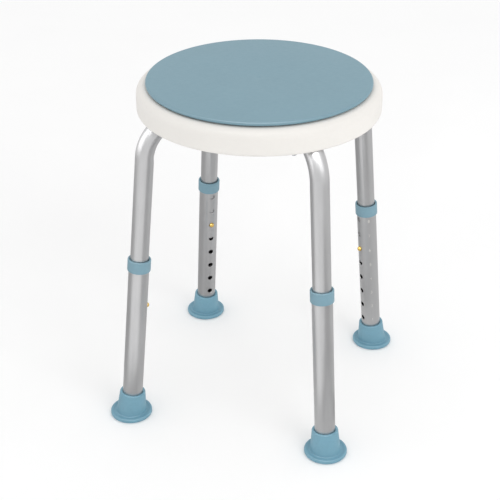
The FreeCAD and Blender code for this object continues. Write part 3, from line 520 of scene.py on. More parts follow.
class Skin:
    """Collects the patches of one closed mesh: points, pattern places and faces."""

    def __init__(self) -> None:
        """Start an empty skin."""
        self.points: list[Array] = []
        self.places: list[Array] = []
        self.faces: list[Array] = []
        self.count = 0

    def add(self, points: Array, places: Array | None = None) -> Array:
        """Add points.

        Args:
            points: coordinates, last axis of three.
            places: each point's place in the pattern's space, by default the point itself.

        Returns:
            The index of each point, in the shape of the grid that was given.
        """
        flat = points.reshape(-1, 3)
        self.points.append(flat)
        self.places.append(flat if places is None else places.reshape(-1, 3))
        indices = np.arange(self.count, self.count + len(flat)).reshape(points.shape[:-1])
        self.count += len(flat)
        return indices

    def weave(self, rows: Array, keep: Array | None = None, closed: bool = True) -> None:
        """Join neighbouring rows of a grid of indices with quads.

        A quad's corners are this point, the next in its row, and the same two in the row above.

        Args:
            rows: indices, one row per ring.
            keep: a mask of the cells that get a face.
            closed: whether each row closes on itself.
        """
        ahead = np.roll(rows, -1, axis=1)
        cells = np.stack([rows[:-1], ahead[:-1], ahead[1:], rows[1:]], axis=-1)
        if not closed:
            cells = cells[:, :-1]
        if keep is not None:
            cells = cells[keep]
        self.faces.append(cells.reshape(-1, 4))

    def pole(self, ring: Array, point: Array) -> None:
        """Close a ring with triangles that meet in one point."""
        tip = self.add(point.reshape(1, 3))[0]
        self.faces.append(np.stack([ring, np.roll(ring, -1), np.full(len(ring), tip)], axis=-1))

    def bar(self, points: Array) -> None:
        """Add a bar: rings of points joined in order, with a flat face at each end."""
        rows = self.add(points)
        self.weave(rows)
        self.faces.extend([rows[0][None, ::-1], rows[-1][None]])

    def turn(self, profile: Array, axes: Axes, steps: int, closed: bool = False) -> None:
        """Turn a profile about an axis.

        Args:
            profile: radius and height of each point. A radius of zero at an end is a pole.
            axes: the frame whose long axis it turns about.
            steps: points in each ring.
            closed: whether the profile's end joins its start.
        """
        poles = [end for end in (0, -1) if profile[end, 0] < ON_AXIS and not closed]
        inside = profile[(1 if 0 in poles else 0):(len(profile) - 1 if -1 in poles else len(profile))]
        rows = self.add(axes.turned_place(*ring_grid(inside, steps)))
        self.weave(np.vstack([rows, rows[:1]]) if closed else rows)
        for end in poles:
            tip = axes.origin + profile[end, 1] * axes.along
            self.pole(rows[end], tip)

    def piece(self, name: str, sharp_degrees: float = 38.0) -> bpy.types.Object:
        """Make the object.

        Args:
            name: the piece's name.
            sharp_degrees: an edge that turns by more than this stays crisp.

        Returns:
            The object, at the origin, with its normals outwards.
        """
        mesh = bpy.data.meshes.new(name)
        faces = [face for block in self.faces for face in block.tolist()]
        mesh.from_pydata(np.concatenate(self.points).tolist(), [], faces)
        attribute = mesh.attributes.new(TUBE_PLACE, "FLOAT_VECTOR", "POINT")
        attribute.data.foreach_set("vector", np.concatenate(self.places).astype(np.float32).ravel())
        work = bmesh.new()
        work.from_mesh(mesh)
        bmesh.ops.recalc_face_normals(work, faces=work.faces)
        work.to_mesh(mesh)
        work.free()
        mesh.shade_smooth()
        mesh.set_sharp_from_angle(angle=math.radians(sharp_degrees))
        item = bpy.data.objects.new(name, mesh)
        bpy.context.scene.collection.objects.link(item)
        return item


def rounded(corners: Sequence[tuple[float, float, float]], closed: bool = False, steps: int = 6) -> Array:
    """Round the corners of an outline.

    A corner becomes an arc that is tangent to both its runs: its centre lies on the bisector, at the
    radius divided by the sine of half the corner's angle.

    Args:
        corners: two coordinates and a rounding radius for each corner.
        closed: whether the outline closes on itself.
        steps: spans in each arc.

    Returns:
        The outline's points.
    """
    parts: list[Array] = []
    count = len(corners)
    for number, (first, second, radius) in enumerate(corners):
        here = np.array([first, second])
        if radius <= 0.0 or (not closed and number in (0, count - 1)):
            parts.append(here[None])
            continue
        back = np.array(corners[number - 1][:2]) - here
        ahead = np.array(corners[(number + 1) % count][:2]) - here
        back /= np.linalg.norm(back)
        ahead /= np.linalg.norm(ahead)
        half = math.acos(float(np.clip(back @ ahead, -1.0, 1.0))) / 2.0
        bisector = (back + ahead) / np.linalg.norm(back + ahead)
        centre = here + bisector * radius / math.sin(half)
        start = here + back * radius / math.tan(half) - centre
        end = here + ahead * radius / math.tan(half) - centre
        first_angle = math.atan2(start[1], start[0])
        sweep = (math.atan2(end[1], end[0]) - first_angle + math.pi) % FULL_TURN - math.pi
        angle = first_angle + sweep * np.linspace(0.0, 1.0, steps + 1)
        parts.append(centre + radius * np.stack([np.cos(angle), np.sin(angle)], axis=-1))
    return np.concatenate(parts)


def filled(stations: Sequence[float], longest: float) -> Array:
    """Sort stations along a line and add more, so that no gap is longer than longest."""
    marks = np.unique(np.round(np.asarray(stations), 7))
    gaps = [np.linspace(low, high, max(1, math.ceil((high - low) / longest)), endpoint=False)
            for low, high in zip(marks[:-1], marks[1:])]
    return np.concatenate(gaps + [marks[-1:]])


def settle(item: bpy.types.Object, body: str, slot: Slot, paints: Paintbox, *nodes: str) -> bpy.types.Object:
    """Dress a piece, mount it on its body and hide the nodes it stands for.

    Args:
        item: the piece.
        body: the CAD body it rides on.
        slot: the finish it wears.
        paints: the materials.
        *nodes: the CAD nodes that it replaces.

    Returns:
        The piece.
    """
    item.data.materials.append(paints.materials[slot])
    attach(item, body)
    if nodes:
        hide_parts(*nodes)
    log.info("piece %s: %d faces, rides %s", item.name, len(item.data.polygons), body)
    return item


def node_points(node: str) -> Array:
    """The vertices of a CAD node at rest, one row each."""
    vertices = frame["nodes"][node].data.vertices
    flat = np.empty(len(vertices) * 3)
    vertices.foreach_get("co", flat)
    return flat.reshape(-1, 3)


# ---------------------------------------------------------------- swivelling disc


@dataclass
class SwivelDisc:
    """The disc that turns on the seat: a thin plate with a ring, a hub and radial ribs under it.

    Attributes:
        top_round: rounding of the plate's rim at the top.
        edge_round: rounding of the plate's rim underneath.
        rib_thickness: thickness of the ring and of each rib.
        rib_count: number of ribs.
        ring_inset: distance from the seat's deck edge in to the ring.
        deck_radius: radius of the seat's sunk deck.
        hub_radius: radius of the hub.
        gate_radius: radius of the small mark at the centre that moulding leaves.
        gate_depth: depth of that mark.
        gate_slope: how far that mark's side slopes.
        gate_round: rounding of that mark's edges.
        deck_depth: how far the seat's deck lies below its top.
        ring_clearance: gap between the ring and the deck.
        rib_clearance: gap between the ribs and the leg bolts' heads.
        rib_round: rounding of a rib's lower edges.
        fillet: rounding in the corners underneath.
        flat_share: share of the radius where the flat top has a ring of points.
        steps: points around the disc.
    """

    top_round: float = 0.0028
    edge_round: float = 0.0018
    rib_thickness: float = 0.0024
    rib_count: int = 12
    ring_inset: float = 0.012
    deck_radius: float = 0.140
    hub_radius: float = 0.017
    gate_radius: float = 0.0022
    gate_depth: float = 0.0003
    gate_slope: float = 0.0004
    gate_round: float = 0.0002
    deck_depth: float = 0.008
    ring_clearance: float = 0.0015
    rib_clearance: float = 0.0014
    rib_round: float = 0.0005
    fillet: float = 0.0006
    flat_share: float = 0.4
    steps: int = 240

    def profile(self) -> Array:
        """Outline of the turned part, from the centre of the top round the rim to the insert's bore.

        Returns:
            Radius and height of each point.
        """
        low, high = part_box("swivel_disc")
        insert_low, insert_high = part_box("pivot_insert")
        top, radius = high.z, high.x
        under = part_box("upper_race")[1].z
        ring_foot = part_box("seat_base")[1].z - self.deck_depth + self.ring_clearance
        ring_in = self.deck_radius - self.ring_inset
        ring_out = ring_in + self.rib_thickness
        fillet = self.fillet
        return rounded([
            (0.0, top - self.gate_depth, 0.0),
            (self.gate_radius, top - self.gate_depth, self.gate_round),
            (self.gate_radius + self.gate_slope, top, self.gate_round),
            (radius * self.flat_share, top, 0.0),
            (radius, top, self.top_round),
            (radius, under, self.edge_round),
            (ring_out, under, fillet),
            (ring_out, ring_foot, fillet),
            (ring_in, ring_foot, fillet),
            (ring_in, under, fillet),
            (self.hub_radius, under, fillet),
            (self.hub_radius, low.z, fillet),
            (insert_high.x, insert_low.z, 0.0),
            (insert_high.x, insert_high.z, 0.0),
            (0.0, insert_high.z, 0.0),
        ], steps=8)

    def ribs(self, skin: Skin) -> None:
        """Add the ribs: thin upright bars between the race and the ring.

        Args:
            skin: the mesh they join.
        """
        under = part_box("upper_race")[1].z
        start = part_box("upper_race")[1].x + self.rib_thickness
        end = self.deck_radius - self.ring_inset + self.rib_thickness / 2.0
        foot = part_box("leg_bolts")[1].z + self.rib_clearance
        half = self.rib_thickness / 2.0
        section = rounded([(-half, under + half, 0.0), (-half, foot, self.rib_round),
                           (half, foot, self.rib_round), (half, under + half, 0.0)], steps=4)
        for turn in np.linspace(0.0, FULL_TURN, self.rib_count, endpoint=False):
            out = np.array([math.cos(turn), math.sin(turn), 0.0])
            side = np.array([-math.sin(turn), math.cos(turn), 0.0])
            skin.bar(np.stack([distance * out + section[:, :1] * side + section[:, 1:] * UPRIGHT.along
                               for distance in (start, end)]))

    def build(self, paints: Paintbox) -> None:
        """Make the disc."""
        skin = Skin()
        skin.turn(self.profile(), UPRIGHT, self.steps)
        self.ribs(skin)
        settle(skin.piece("disc_moulding"), "disc", Slot.DISC, paints, "swivel_disc")


# ---------------------------------------------------------------- legs


@dataclass(frozen=True)
class LegLine:
    """Where one leg stands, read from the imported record.

    Attributes:
        corner: which leg.
        foot: where the leg's axis meets the floor.
        out: level direction away from the stool's axis.
        up: direction up the leg.
    """

    corner: Corner
    foot: Array
    out: Array
    up: Array

    @classmethod
    def read(cls, corner: Corner) -> "LegLine":
        """Read a leg from the record's mounts and joints."""
        mounts = {mount["name"]: mount for mount in frame["record"]["mounts"]}
        joints = {joint["name"]: joint for joint in frame["joints"]}
        foot = np.array(mounts["foot_" + corner.value]["pos_m"], float)
        foot[2] = 0.0
        down = np.array(joints["leg_height_" + corner.value]["axis"], float)
        return cls(corner, foot, foot / np.linalg.norm(foot), -down / np.linalg.norm(down))

    @property
    def side(self) -> Array:
        """Level direction across the leg, counter-clockwise seen from above."""
        return np.array([-self.out[1], self.out[0], 0.0])

    @property
    def inward(self) -> Array:
        """Direction square to the leg's axis that points at the stool's axis."""
        return np.cross(self.side, self.up) * -1.0

    @property
    def lean(self) -> float:
        """Angle between the leg and the upright."""
        return math.acos(float(self.up[2]))

    @property
    def axes(self) -> Axes:
        """The leg's own frame, with its first direction inwards."""
        return Axes(self.foot, self.inward, self.side, self.up)

    def span(self, node: str) -> tuple[float, float, float]:
        """Lowest and highest place of a CAD node along the leg, and its largest distance from the axis."""
        offset = node_points(node) - self.foot
        along = offset @ self.up
        away = np.linalg.norm(offset - along[:, None] * self.up, axis=1)
        return float(along.min()), float(along.max()), float(away.max())


class TubeLine(Protocol):
    """A centre line that a tube follows."""

    def place(self, along: Array, around: Array, radius: Array) -> Array:
        """Points at a distance along the line, an angle around it and a radius from it."""


@dataclass(frozen=True)
class StraightLine:
    """The straight centre line of a leg.

    Attributes:
        leg: the leg it belongs to.
    """

    leg: LegLine

    def place(self, along: Array, around: Array, radius: Array) -> Array:
        """Points of the tube: the leg's own frame, turned about its axis."""
        return self.leg.axes.turned_place(radius, around, along)


@dataclass(frozen=True)
class BentLine:
    """Centre line of an upper tube: a level run, a round bend and a leaning straight.

    Attributes:
        leg: the leg it belongs to.
        height: height of the level run.
        run_start: distance from the stool's axis to the run's inner end.
        bend_radius: radius of the bend's centre line.
        pinch: how far the tube's inner side flattens where the bend meets the straight.
        pinch_length: how far along the tube that flattening reaches.
        start_share: how strong the flattening at the bend's start is beside that at its end.
    """

    leg: LegLine
    height: float
    run_start: float
    bend_radius: float = 0.051
    pinch: float = 0.0007
    pinch_length: float = 0.006
    start_share: float = 0.6

    @property
    def bend_start(self) -> float:
        """Distance from the stool's axis to where the bend begins."""
        knee = float(self.leg.foot @ self.leg.out) - self.height * math.tan(self.leg.lean)
        return knee - self.bend_radius * math.tan(math.pi / 4.0 - self.leg.lean / 2.0)

    @property
    def bend_angle(self) -> float:
        """Angle that the tube turns through."""
        return math.pi / 2.0 - self.leg.lean

    @property
    def marks(self) -> tuple[float, float]:
        """Distance along the line to the bend's start and to its end."""
        start = self.bend_start - self.run_start
        return start, start + self.bend_radius * self.bend_angle

    @property
    def straight_foot(self) -> float:
        """Height along the leg of the bend's end."""
        level = self.height - self.bend_radius * (1.0 - math.cos(self.bend_angle))
        return level / math.cos(self.leg.lean)

    def length_to(self, along_leg: float) -> float:
        """Distance along the line to a place given along the leg."""
        return self.marks[1] + self.straight_foot - along_leg

    def place(self, along: Array, around: Array, radius: Array) -> Array:
        """Points of the tube.

        On the level run the centre moves outwards; round the bend it follows a circle below the run;
        past the bend it goes down the leg. The tube's inner side is pinched by a bell curve at each
        end of the bend, strongest on the side that faces the bend's centre.

        Args:
            along: distance from the run's inner end.
            around: angle from the bend's inner side.
            radius: distance from the centre line.

        Returns:
            The points.
        """
        start, end = self.marks
        turn = np.clip((along - start) / self.bend_radius, 0.0, self.bend_angle)
        past = np.maximum(along - end, 0.0)
        level = (self.run_start + np.minimum(along, start) + self.bend_radius * np.sin(turn)
                 + past * math.sin(self.leg.lean))
        height = (self.height - self.bend_radius * (1.0 - np.cos(turn)) - past * math.cos(self.leg.lean))
        bell = np.exp(-((along - end) / self.pinch_length) ** 2)
        bell = bell + self.start_share * np.exp(-((along - start) / self.pinch_length) ** 2)
        radius = radius - self.pinch * bell * np.maximum(np.cos(around), 0.0) ** 3
        inner = (-np.sin(turn)[..., None] * self.leg.out - np.cos(turn)[..., None] * UPRIGHT.along)
        centre = level[..., None] * self.leg.out + height[..., None] * UPRIGHT.along
        return (centre + (radius * np.cos(around))[..., None] * inner
                + (radius * np.sin(around))[..., None] * self.leg.side)


@dataclass(frozen=True)
class Bore:
    """A round hole drilled square through one side of a tube.

    Attributes:
        along: where it is along the tube.
        around: the angle it is drilled at, a whole share of the tube's columns.
        radius: its radius.
        edge: rounding of its outer edge.
    """

    along: float
    around: float
    radius: float
    edge: float = 0.00035


@dataclass
class TubeWall:
    """The wall of a tube with drilled holes, as one closed mesh.

    Attributes:
        line: the centre line it follows.
        start: where it starts along the line.
        end: where it ends.
        outer: outside radius.
        inner: inside radius.
        bores: its holes.
        columns: points around the tube.
        reach: columns on each side of a hole's middle that its square patch takes.
        longest: longest cell along the tube.
        patch_rings: rings between a hole's square patch and its mouth.
        lip_rings: rings over a hole's rounded edge.
        marks: more places along the tube that get a row.
    """

    line: TubeLine
    start: float
    end: float
    outer: float
    inner: float
    bores: list[Bore]
    columns: int = 64
    reach: int = 5
    longest: float = 0.006
    patch_rings: int = 5
    lip_rings: int = 4
    marks: list[float] = field(default_factory=list)

    def put(self, skin: Skin, along: Array, around: Array, radius: Array) -> Array:
        """Add points of the tube with their place in the straightened tube."""
        places = np.stack([radius * np.cos(around), radius * np.sin(around), along], axis=-1)
        return skin.add(self.line.place(along, around, radius), places)

    def build(self) -> Skin:
        """Make the wall.

        The wall is a grid of columns around and rows along the tube, outside and inside, joined at
        both ends. Each hole takes a square block out of the grid and fills it with rings that turn
        from the square into the hole's circle.

        Returns:
            The closed skin.
        """
        skin = Skin()
        cell = self.outer * FULL_TURN / self.columns
        block = np.arange(-self.reach, self.reach + 1) * cell
        stations = filled([self.start, self.end, *self.marks,
                           *[bore.along + step for bore in self.bores for step in block]], self.longest)
        angle = (np.arange(self.columns) - self.reach) * FULL_TURN / self.columns
        along, around = np.meshgrid(stations, angle, indexing="ij")
        keep = np.ones((len(stations) - 1, self.columns), bool)
        corners = []
        for bore in self.bores:
            row = int(np.argmin(np.abs(stations - (bore.along + block[0]))))
            column = int(round(bore.around / FULL_TURN * self.columns))
            keep[row:row + 2 * self.reach, column:column + 2 * self.reach] = False
            corners.append((row, column))
        walls = []
        for radius in (self.outer, self.inner):
            grid = self.put(skin, along, around, np.full_like(along, radius))
            skin.weave(grid, keep)
            walls.append(grid)
        skin.weave(np.stack([walls[0][0], walls[1][0]]))
        skin.weave(np.stack([walls[0][-1], walls[1][-1]]))
        for bore, corner in zip(self.bores, corners):
            self.drill(skin, bore, walls, corner, stations, angle)
        return skin

    def drill(self, skin: Skin, bore: Bore, walls: list[Array], corner: tuple[int, int],
              stations: Array, angle: Array) -> None:
        """Fill one square block with rings that end in the hole, and join outside to inside.

        A ring's point lies on the straight line from the square's edge to the circle, in the
        coordinates of the unrolled wall. The circle is that of a drill: its offset across the tube
        is the wall's radius times the arcsine of the drill's offset over that radius.

        Args:
            skin: the mesh.
            bore: the hole.
            walls: the outer and the inner grid of indices.
            corner: first row and first column of the block.
            stations: the place of each row along the tube.
            angle: the angle of each column.
        """
        size = 2 * self.reach
        steps = np.arange(size)
        row = np.concatenate([np.zeros(size, int), steps, np.full(size, size), size - steps]) + corner[0]
        column = np.concatenate([steps, np.full(size, size), size - steps, np.zeros(size, int)]) + corner[1]
        up = stations[row] - bore.along
        across = angle[column] - bore.around
        direction = np.arctan2(up, across * self.outer)
        last = []
        for number, (grid, wall) in enumerate(zip(walls, (self.outer, self.inner))):
            mouth = bore.radius + (bore.edge if number == 0 else 0.0)
            share = np.linspace(0.0, 1.0, self.patch_rings + 1)[1:, None]
            goal_up = mouth * np.sin(direction)
            goal_across = np.arcsin(mouth * np.cos(direction) / wall)
            rings_up = [up + share * (goal_up - up)]
            rings_across = [across + share * (goal_across - across)]
            rings_wall = [np.full((len(share), len(up)), wall)]
            if number == 0:
                lip = np.linspace(0.0, math.pi / 2.0, self.lip_rings + 1)[1:, None]
                narrow = mouth - bore.edge * np.sin(lip)
                depth = wall - bore.edge * (1.0 - np.cos(lip))
                rings_up.append(narrow * np.sin(direction))
                rings_across.append(np.arcsin(narrow * np.cos(direction) / depth))
                rings_wall.append(np.broadcast_to(depth, (len(lip), len(up))))
            rings = self.put(skin, bore.along + np.concatenate(rings_up),
                             bore.around + np.concatenate(rings_across), np.concatenate(rings_wall))
            skin.weave(np.vstack([grid[row, column][None], rings]))
            last.append(rings[-1])
        skin.weave(np.stack(last))


@dataclass
class Leg:
    """One telescoping leg with its collar, foot, button and stamped numbers.

    Attributes:
        corner: which leg.
        hole_count: locking holes in the lower tube.
        hole_pitch: distance from hole to hole.
        button_hole: the hole that the button sits in, counted from the floor.
        hole_radius: radius of a locking hole.
        upper_radius: outside radius of the upper tube.
        upper_wall: its wall.
        slide_gap: gap between the tubes.
        lower_wall: wall of the lower tube.
        run_start: distance from the stool's axis to the upper tube's inner end.
        bolt_circles: distance from the stool's axis to each bolt.
        number_turn: angle from the holes to the stamped numbers.
        button_slack: how much smaller the upper tube's hole is than a locking hole.
        bolt_bore: radius of a bolt's hole.
        bore_edge: rounding of the upper tube's holes.
        bend_margins: how far the bend's fine rows reach before it and past it.
        bend_rows: how many fine rows there are.
        collar_slip: gap between the collar's mouth and the upper tube.
        collar_chamfer: width and height of the mouth's chamfer.
        collar_steps: points around the collar.
        button_flange: radius and thickness of the button's flange.
        button_stem: radius of the button's stem.
        button_dome: rounding of the button's tip.
        button_steps: points around the button.
    """

    corner: Corner
    hole_count: int = 8
    hole_pitch: float = 0.0254
    button_hole: int = 6
    hole_radius: float = 0.0038
    upper_radius: float = 0.0127
    upper_wall: float = 0.0012
    slide_gap: float = 0.0003
    lower_wall: float = 0.0013
    run_start: float = 0.034
    bolt_circles: tuple[float, float] = (0.09995, 0.052)
    number_turn: float = math.radians(-70.0)
    button_slack: float = 0.0001
    bolt_bore: float = 0.0034
    bore_edge: float = 0.0002
    bend_margins: tuple[float, float] = (0.012, 0.014)
    bend_rows: int = 48
    collar_slip: float = 0.00045
    collar_chamfer: tuple[float, float] = (0.0011, 0.0012)
    collar_steps: int = 96
    button_flange: tuple[float, float] = (0.0044, 0.0013)
    button_stem: float = 0.0035
    button_dome: float = 0.0030
    button_steps: int = 48

    def __post_init__(self) -> None:
        """Read where the leg stands."""
        self.name = self.corner.value
        self.line = LegLine.read(self.corner)
        low, high, _ = self.line.span("snap_button_" + self.name)
        self.button_along = (low + high) / 2.0

    @property
    def lower_radius(self) -> float:
        """Outside radius of the lower tube."""
        return self.upper_radius + self.slide_gap + self.lower_wall

    def hole_along(self, number: int) -> float:
        """Where a locking hole is along the leg, counted from 1 at the floor."""
        return self.button_along + (number - self.button_hole) * self.hole_pitch

    def upper_tube(self, paints: Paintbox) -> None:
        """Make the bent tube, drilled for its bolts and its button."""
        node = "upper_leg_tube_" + self.name
        bent = BentLine(self.line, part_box(node)[1].z - self.upper_radius, self.run_start)
        end = bent.length_to(self.line.span(node)[0])
        bores = [Bore(bent.length_to(self.button_along), 0.0, self.hole_radius - self.button_slack,
                      self.bore_edge)]
        for circle in self.bolt_circles:
            bores += [Bore(circle - self.run_start, around, self.bolt_bore, self.bore_edge)
                      for around in (0.0, math.pi)]
        before, past = self.bend_margins
        bend = np.linspace(bent.marks[0] - before, bent.marks[1] + past, self.bend_rows)
        wall = TubeWall(bent, 0.0, end, self.upper_radius, self.upper_radius - self.upper_wall, bores,
                        marks=bend.tolist())
        settle(wall.build().piece("upper_tube_" + self.name), "seat", Slot.TUBE, paints, node)

    def lower_tube(self, paints: Paintbox) -> None:
        """Make the straight tube with its row of locking holes."""
        node = "lower_leg_tube_" + self.name
        low, high, _ = self.line.span(node)
        bores = [Bore(self.hole_along(number), 0.0, self.hole_radius)
                 for number in range(1, self.hole_count + 1)]
        wall = TubeWall(StraightLine(self.line), low, high, self.lower_radius,
                        self.lower_radius - self.lower_wall, bores)
        settle(wall.build().piece("lower_tube_" + self.name), "leg_" + self.name, Slot.TUBE, paints, node)

    def collar(self, paints: Paintbox) -> None:
        """Make the collar: a ring with soft outer edges and a chamfered mouth for the upper tube."""
        low, high, outer = self.line.span("leg_collar_" + self.name)
        tube_top = self.line.span("lower_leg_tube_" + self.name)[1]
        mouth = self.upper_radius + self.collar_slip
        wide, deep = self.collar_chamfer
        outline = rounded([
            (self.lower_radius, low, 0.0002), (outer, low, 0.0012), (outer, high, 0.0014),
            (mouth + wide, high, 0.0003), (mouth, high - deep, 0.0003), (mouth, tube_top, 0.0),
            (self.lower_radius, tube_top, 0.0)], closed=True, steps=6)
        skin = Skin()
        skin.turn(outline, self.line.axes, self.collar_steps, closed=True)
        settle(skin.piece("collar_" + self.name), "leg_" + self.name, Slot.COLLAR, paints,
               "leg_collar_" + self.name)

    def button(self, paints: Paintbox) -> None:
        """Make the domed spring button, turned about the line that points inwards."""
        axes = Axes(self.line.foot + self.button_along * self.line.up, self.line.up, self.line.side,
                    self.line.inward)
        reach = (node_points("snap_button_" + self.name) - axes.origin) @ axes.along
        back, tip = float(reach.min()), float(reach.max())
        flange, thickness = self.button_flange
        outline = rounded([(0.0, back, 0.0), (flange, back, 0.0003), (flange, back + thickness, 0.0003),
                           (self.button_stem, back + thickness, 0.0002),
                           (self.button_stem, tip, self.button_dome), (0.0, tip, 0.0)], steps=14)
        skin = Skin()
        skin.turn(outline, axes, self.button_steps)
        settle(skin.piece("button_" + self.name), "button_" + self.name, Slot.BRASS, paints,
               "snap_button_" + self.name)

    def numbers(self, paints: Paintbox) -> None:
        """Make the stamped numbers beside the holes, 1 at the bottom."""
        skin = Skin()
        stamp = NumberStamp(StraightLine(self.line), self.lower_radius, self.number_turn)
        for number in range(1, self.hole_count + 1):
            stamp.strike(skin, number, self.hole_along(number))
        settle(skin.piece("hole_numbers_" + self.name, 60.0), "leg_" + self.name, Slot.SEAT, paints)

    def build(self, paints: Paintbox) -> None:
        """Make every piece of the leg."""
        self.upper_tube(paints)
        self.lower_tube(paints)
        self.collar(paints)
        self.button(paints)
        self.numbers(paints)
        ButtonSpring(self.line, self.button_along).build(paints)
        RubberFoot(self.line, self.lower_radius).build(paints)


@dataclass(frozen=True)
class ButtonSpring:
    """The leaf spring in the tube behind a button: a strip folded into a narrow V.

    Attributes:
        line: the leg it belongs to.
        button_along: where the button is along the leg.
        width: width of the strip.
        thickness: thickness of the strip.
        pad_half: half the flat pad that the button sits on.
        fold_half: half the width of the fold.
        leaf_round: rounding where a leaf leaves its straight stretch.
        fold_round: rounding of the fold's two corners.
        longest: longest cell along the strip.
    """

    line: LegLine
    button_along: float
    width: float = 0.0076
    thickness: float = 0.0006
    pad_half: float = 0.0044
    fold_half: float = 0.0022
    leaf_round: float = 0.006
    fold_round: float = 0.0012
    longest: float = 0.0015

    def point(self, along: float, across: float) -> Array:
        """A place in the leg's own plane, along the leg and inwards from its axis."""
        return self.line.foot + along * self.line.up + across * self.line.inward

    def build(self, paints: Paintbox) -> None:
        """Make the spring.

        The middle line runs from the pad up to the fold and down to the back leaf. The strip's
        section is a rectangle of the thickness along the line's normal and the width across it.
        """
        name = self.line.corner.value
        node = "button_spring_" + name
        across = (node_points(node) - self.line.foot) @ self.line.inward
        half = self.thickness / 2.0
        front, back = float(across.max()) - half, float(across.min()) + half
        top = self.line.span(node)[1] - half
        start, along = self.button_along - self.pad_half, self.button_along
        corners = rounded([
            (start, front, 0.0), (along + self.pad_half, front, self.leaf_round),
            (top, self.fold_half - half, self.fold_round), (top, half - self.fold_half, self.fold_round),
            (along, back, self.leaf_round), (start, back, 0.0)], steps=8)
        length = np.concatenate([[0.0], np.cumsum(np.hypot(*np.diff(corners, axis=0).T))])
        stations = filled(length.tolist(), self.longest)
        path = np.stack([np.interp(stations, length, corners[:, axis]) for axis in (0, 1)], axis=-1)
        slope = np.gradient(path, axis=0)
        normal = np.stack([-slope[:, 1], slope[:, 0]], axis=-1) / np.linalg.norm(slope, axis=1, keepdims=True)
        section = np.array([[-half, -1.0], [half, -1.0], [half, 1.0], [-half, 1.0]])
        flat = path[:, None] + section[None, :, :1] * normal[:, None]
        points = (self.line.foot + flat[..., :1] * self.line.up + flat[..., 1:] * self.line.inward
                  + section[None, :, 1:] * (self.width / 2.0) * self.line.side)
        skin = Skin()
        skin.bar(points)
        spring = skin.piece("spring_" + name)
        spring.data.materials.append(paints.materials[Slot.SPRING])
        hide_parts(node)
        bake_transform(spring)
        log.info("piece %s: %d faces, bends from seat to button_%s", spring.name,
                 len(spring.data.polygons), name)


@dataclass
class RubberFoot:
    """The foot: a round flange flat on the floor, and a flared sleeve that leans with the leg.

    Attributes:
        line: the leg it belongs to.
        tube_radius: outside radius of the tube in it.
        flange_radius: radius of the flange.
        flange_height: height of the flange's rim.
        lip: how far the flange's rim stands above its dished top.
        root_radius: radius of the sleeve where it leaves the flange.
        waist: radius and height of the point where the sleeve turns straight.
        mouth_radius: radius of the sleeve's rim.
        bore_gap: gap between the sleeve and the tube.
        mouth_chamfer: width and height of the chamfer at the bore's mouth.
        lip_runs: how far in from the rim the lip's slope begins and ends.
        blend_height: height over which the level rings tilt to the leg.
        groove_count: round grooves in the sole.
        groove_pitch: distance from groove to groove.
        groove_width: width of a groove.
        groove_depth: depth of a groove.
        steps: points around it.
    """

    line: LegLine
    tube_radius: float
    flange_radius: float = 0.02979
    flange_height: float = 0.0064
    lip: float = 0.0010
    root_radius: float = 0.0216
    waist: tuple[float, float] = (0.0208, 0.0110)
    mouth_radius: float = 0.0182
    bore_gap: float = 0.00005
    mouth_chamfer: tuple[float, float] = (0.0006, 0.0014)
    lip_runs: tuple[float, float] = (0.0034, 0.0048)
    blend_height: float = 0.0045
    groove_count: int = 3
    groove_pitch: float = 0.006
    groove_width: float = 0.002
    groove_depth: float = 0.0012
    steps: int = 128

    def profile(self) -> Array:
        """Outline from the middle of the sole, round the flange, up the sleeve and down its bore.

        Returns:
            Radius and height of each point.
        """
        sole = self.line.span("foot_washer_" + self.line.corner.value)[0]
        top = self.line.span("rubber_foot_" + self.line.corner.value)[1]
        flange, rim = self.flange_radius, self.flange_height
        grooves: list[tuple[float, float, float]] = []
        for number in range(self.groove_count, 0, -1):
            inner = flange - number * self.groove_pitch
            outer = inner + self.groove_width
            grooves += [(inner, 0.0, 0.0002), (inner, self.groove_depth, 0.0003),
                        (outer, self.groove_depth, 0.0003), (outer, 0.0, 0.0002)]
        bore = self.tube_radius + self.bore_gap
        lip_start, lip_end = self.lip_runs
        wide, deep = self.mouth_chamfer
        return rounded([
            (0.0, 0.0, 0.0), *grooves, (flange, 0.0, 0.0024), (flange, rim, 0.0018),
            (flange - lip_start, rim - self.lip * 0.4, 0.0010), (flange - lip_end, rim - self.lip, 0.0012),
            (self.root_radius, rim - self.lip, 0.0015), (*self.waist, 0.0200),
            (self.mouth_radius, top, 0.0014), (bore + wide, top, 0.0004), (bore, top - deep, 0.0003),
            (bore, sole, 0.0), (0.0, sole, 0.0)], steps=8)

    def build(self, paints: Paintbox) -> None:
        """Make the foot.

        A ring of the flange is level and stands over the middle of the foot. Above the flange a
        ring's middle moves on to the leaning leg, and the ring tilts until it is square with the leg,
        both by a smooth step over the root of the sleeve. The bore follows the leg all the way down.
        """
        outline = self.profile()
        radius, turn, height = ring_grid(outline[1:-1], self.steps)
        share = np.clip((height - self.flange_height) / self.blend_height, 0.0, 1.0)
        share = share * share * (3.0 - 2.0 * share)
        share[int(np.argmax(outline[1:-1, 1])):] = 1.0
        tilt = self.line.lean * share
        level = np.cos(turn)[..., None] * -self.line.out + np.sin(turn)[..., None] * self.line.side
        rise = radius * np.cos(turn) * -np.sin(tilt)
        drawn_in = radius * np.cos(turn) * (1.0 - np.cos(tilt))
        along = share[..., None] * self.line.up + (1.0 - share[..., None]) * UPRIGHT.along
        points = (self.line.foot + height[..., None] * along + radius[..., None] * level
                  + rise[..., None] * UPRIGHT.along + drawn_in[..., None] * self.line.out)
        skin = Skin()
        rows = skin.add(points)
        skin.weave(rows)
        skin.pole(rows[0], self.line.foot)
        skin.pole(rows[-1], self.line.foot + outline[-1, 1] * self.line.up)
        name = self.line.corner.value
        settle(skin.piece("foot_" + name), "leg_" + name, Slot.FOOT, paints, "rubber_foot_" + name)


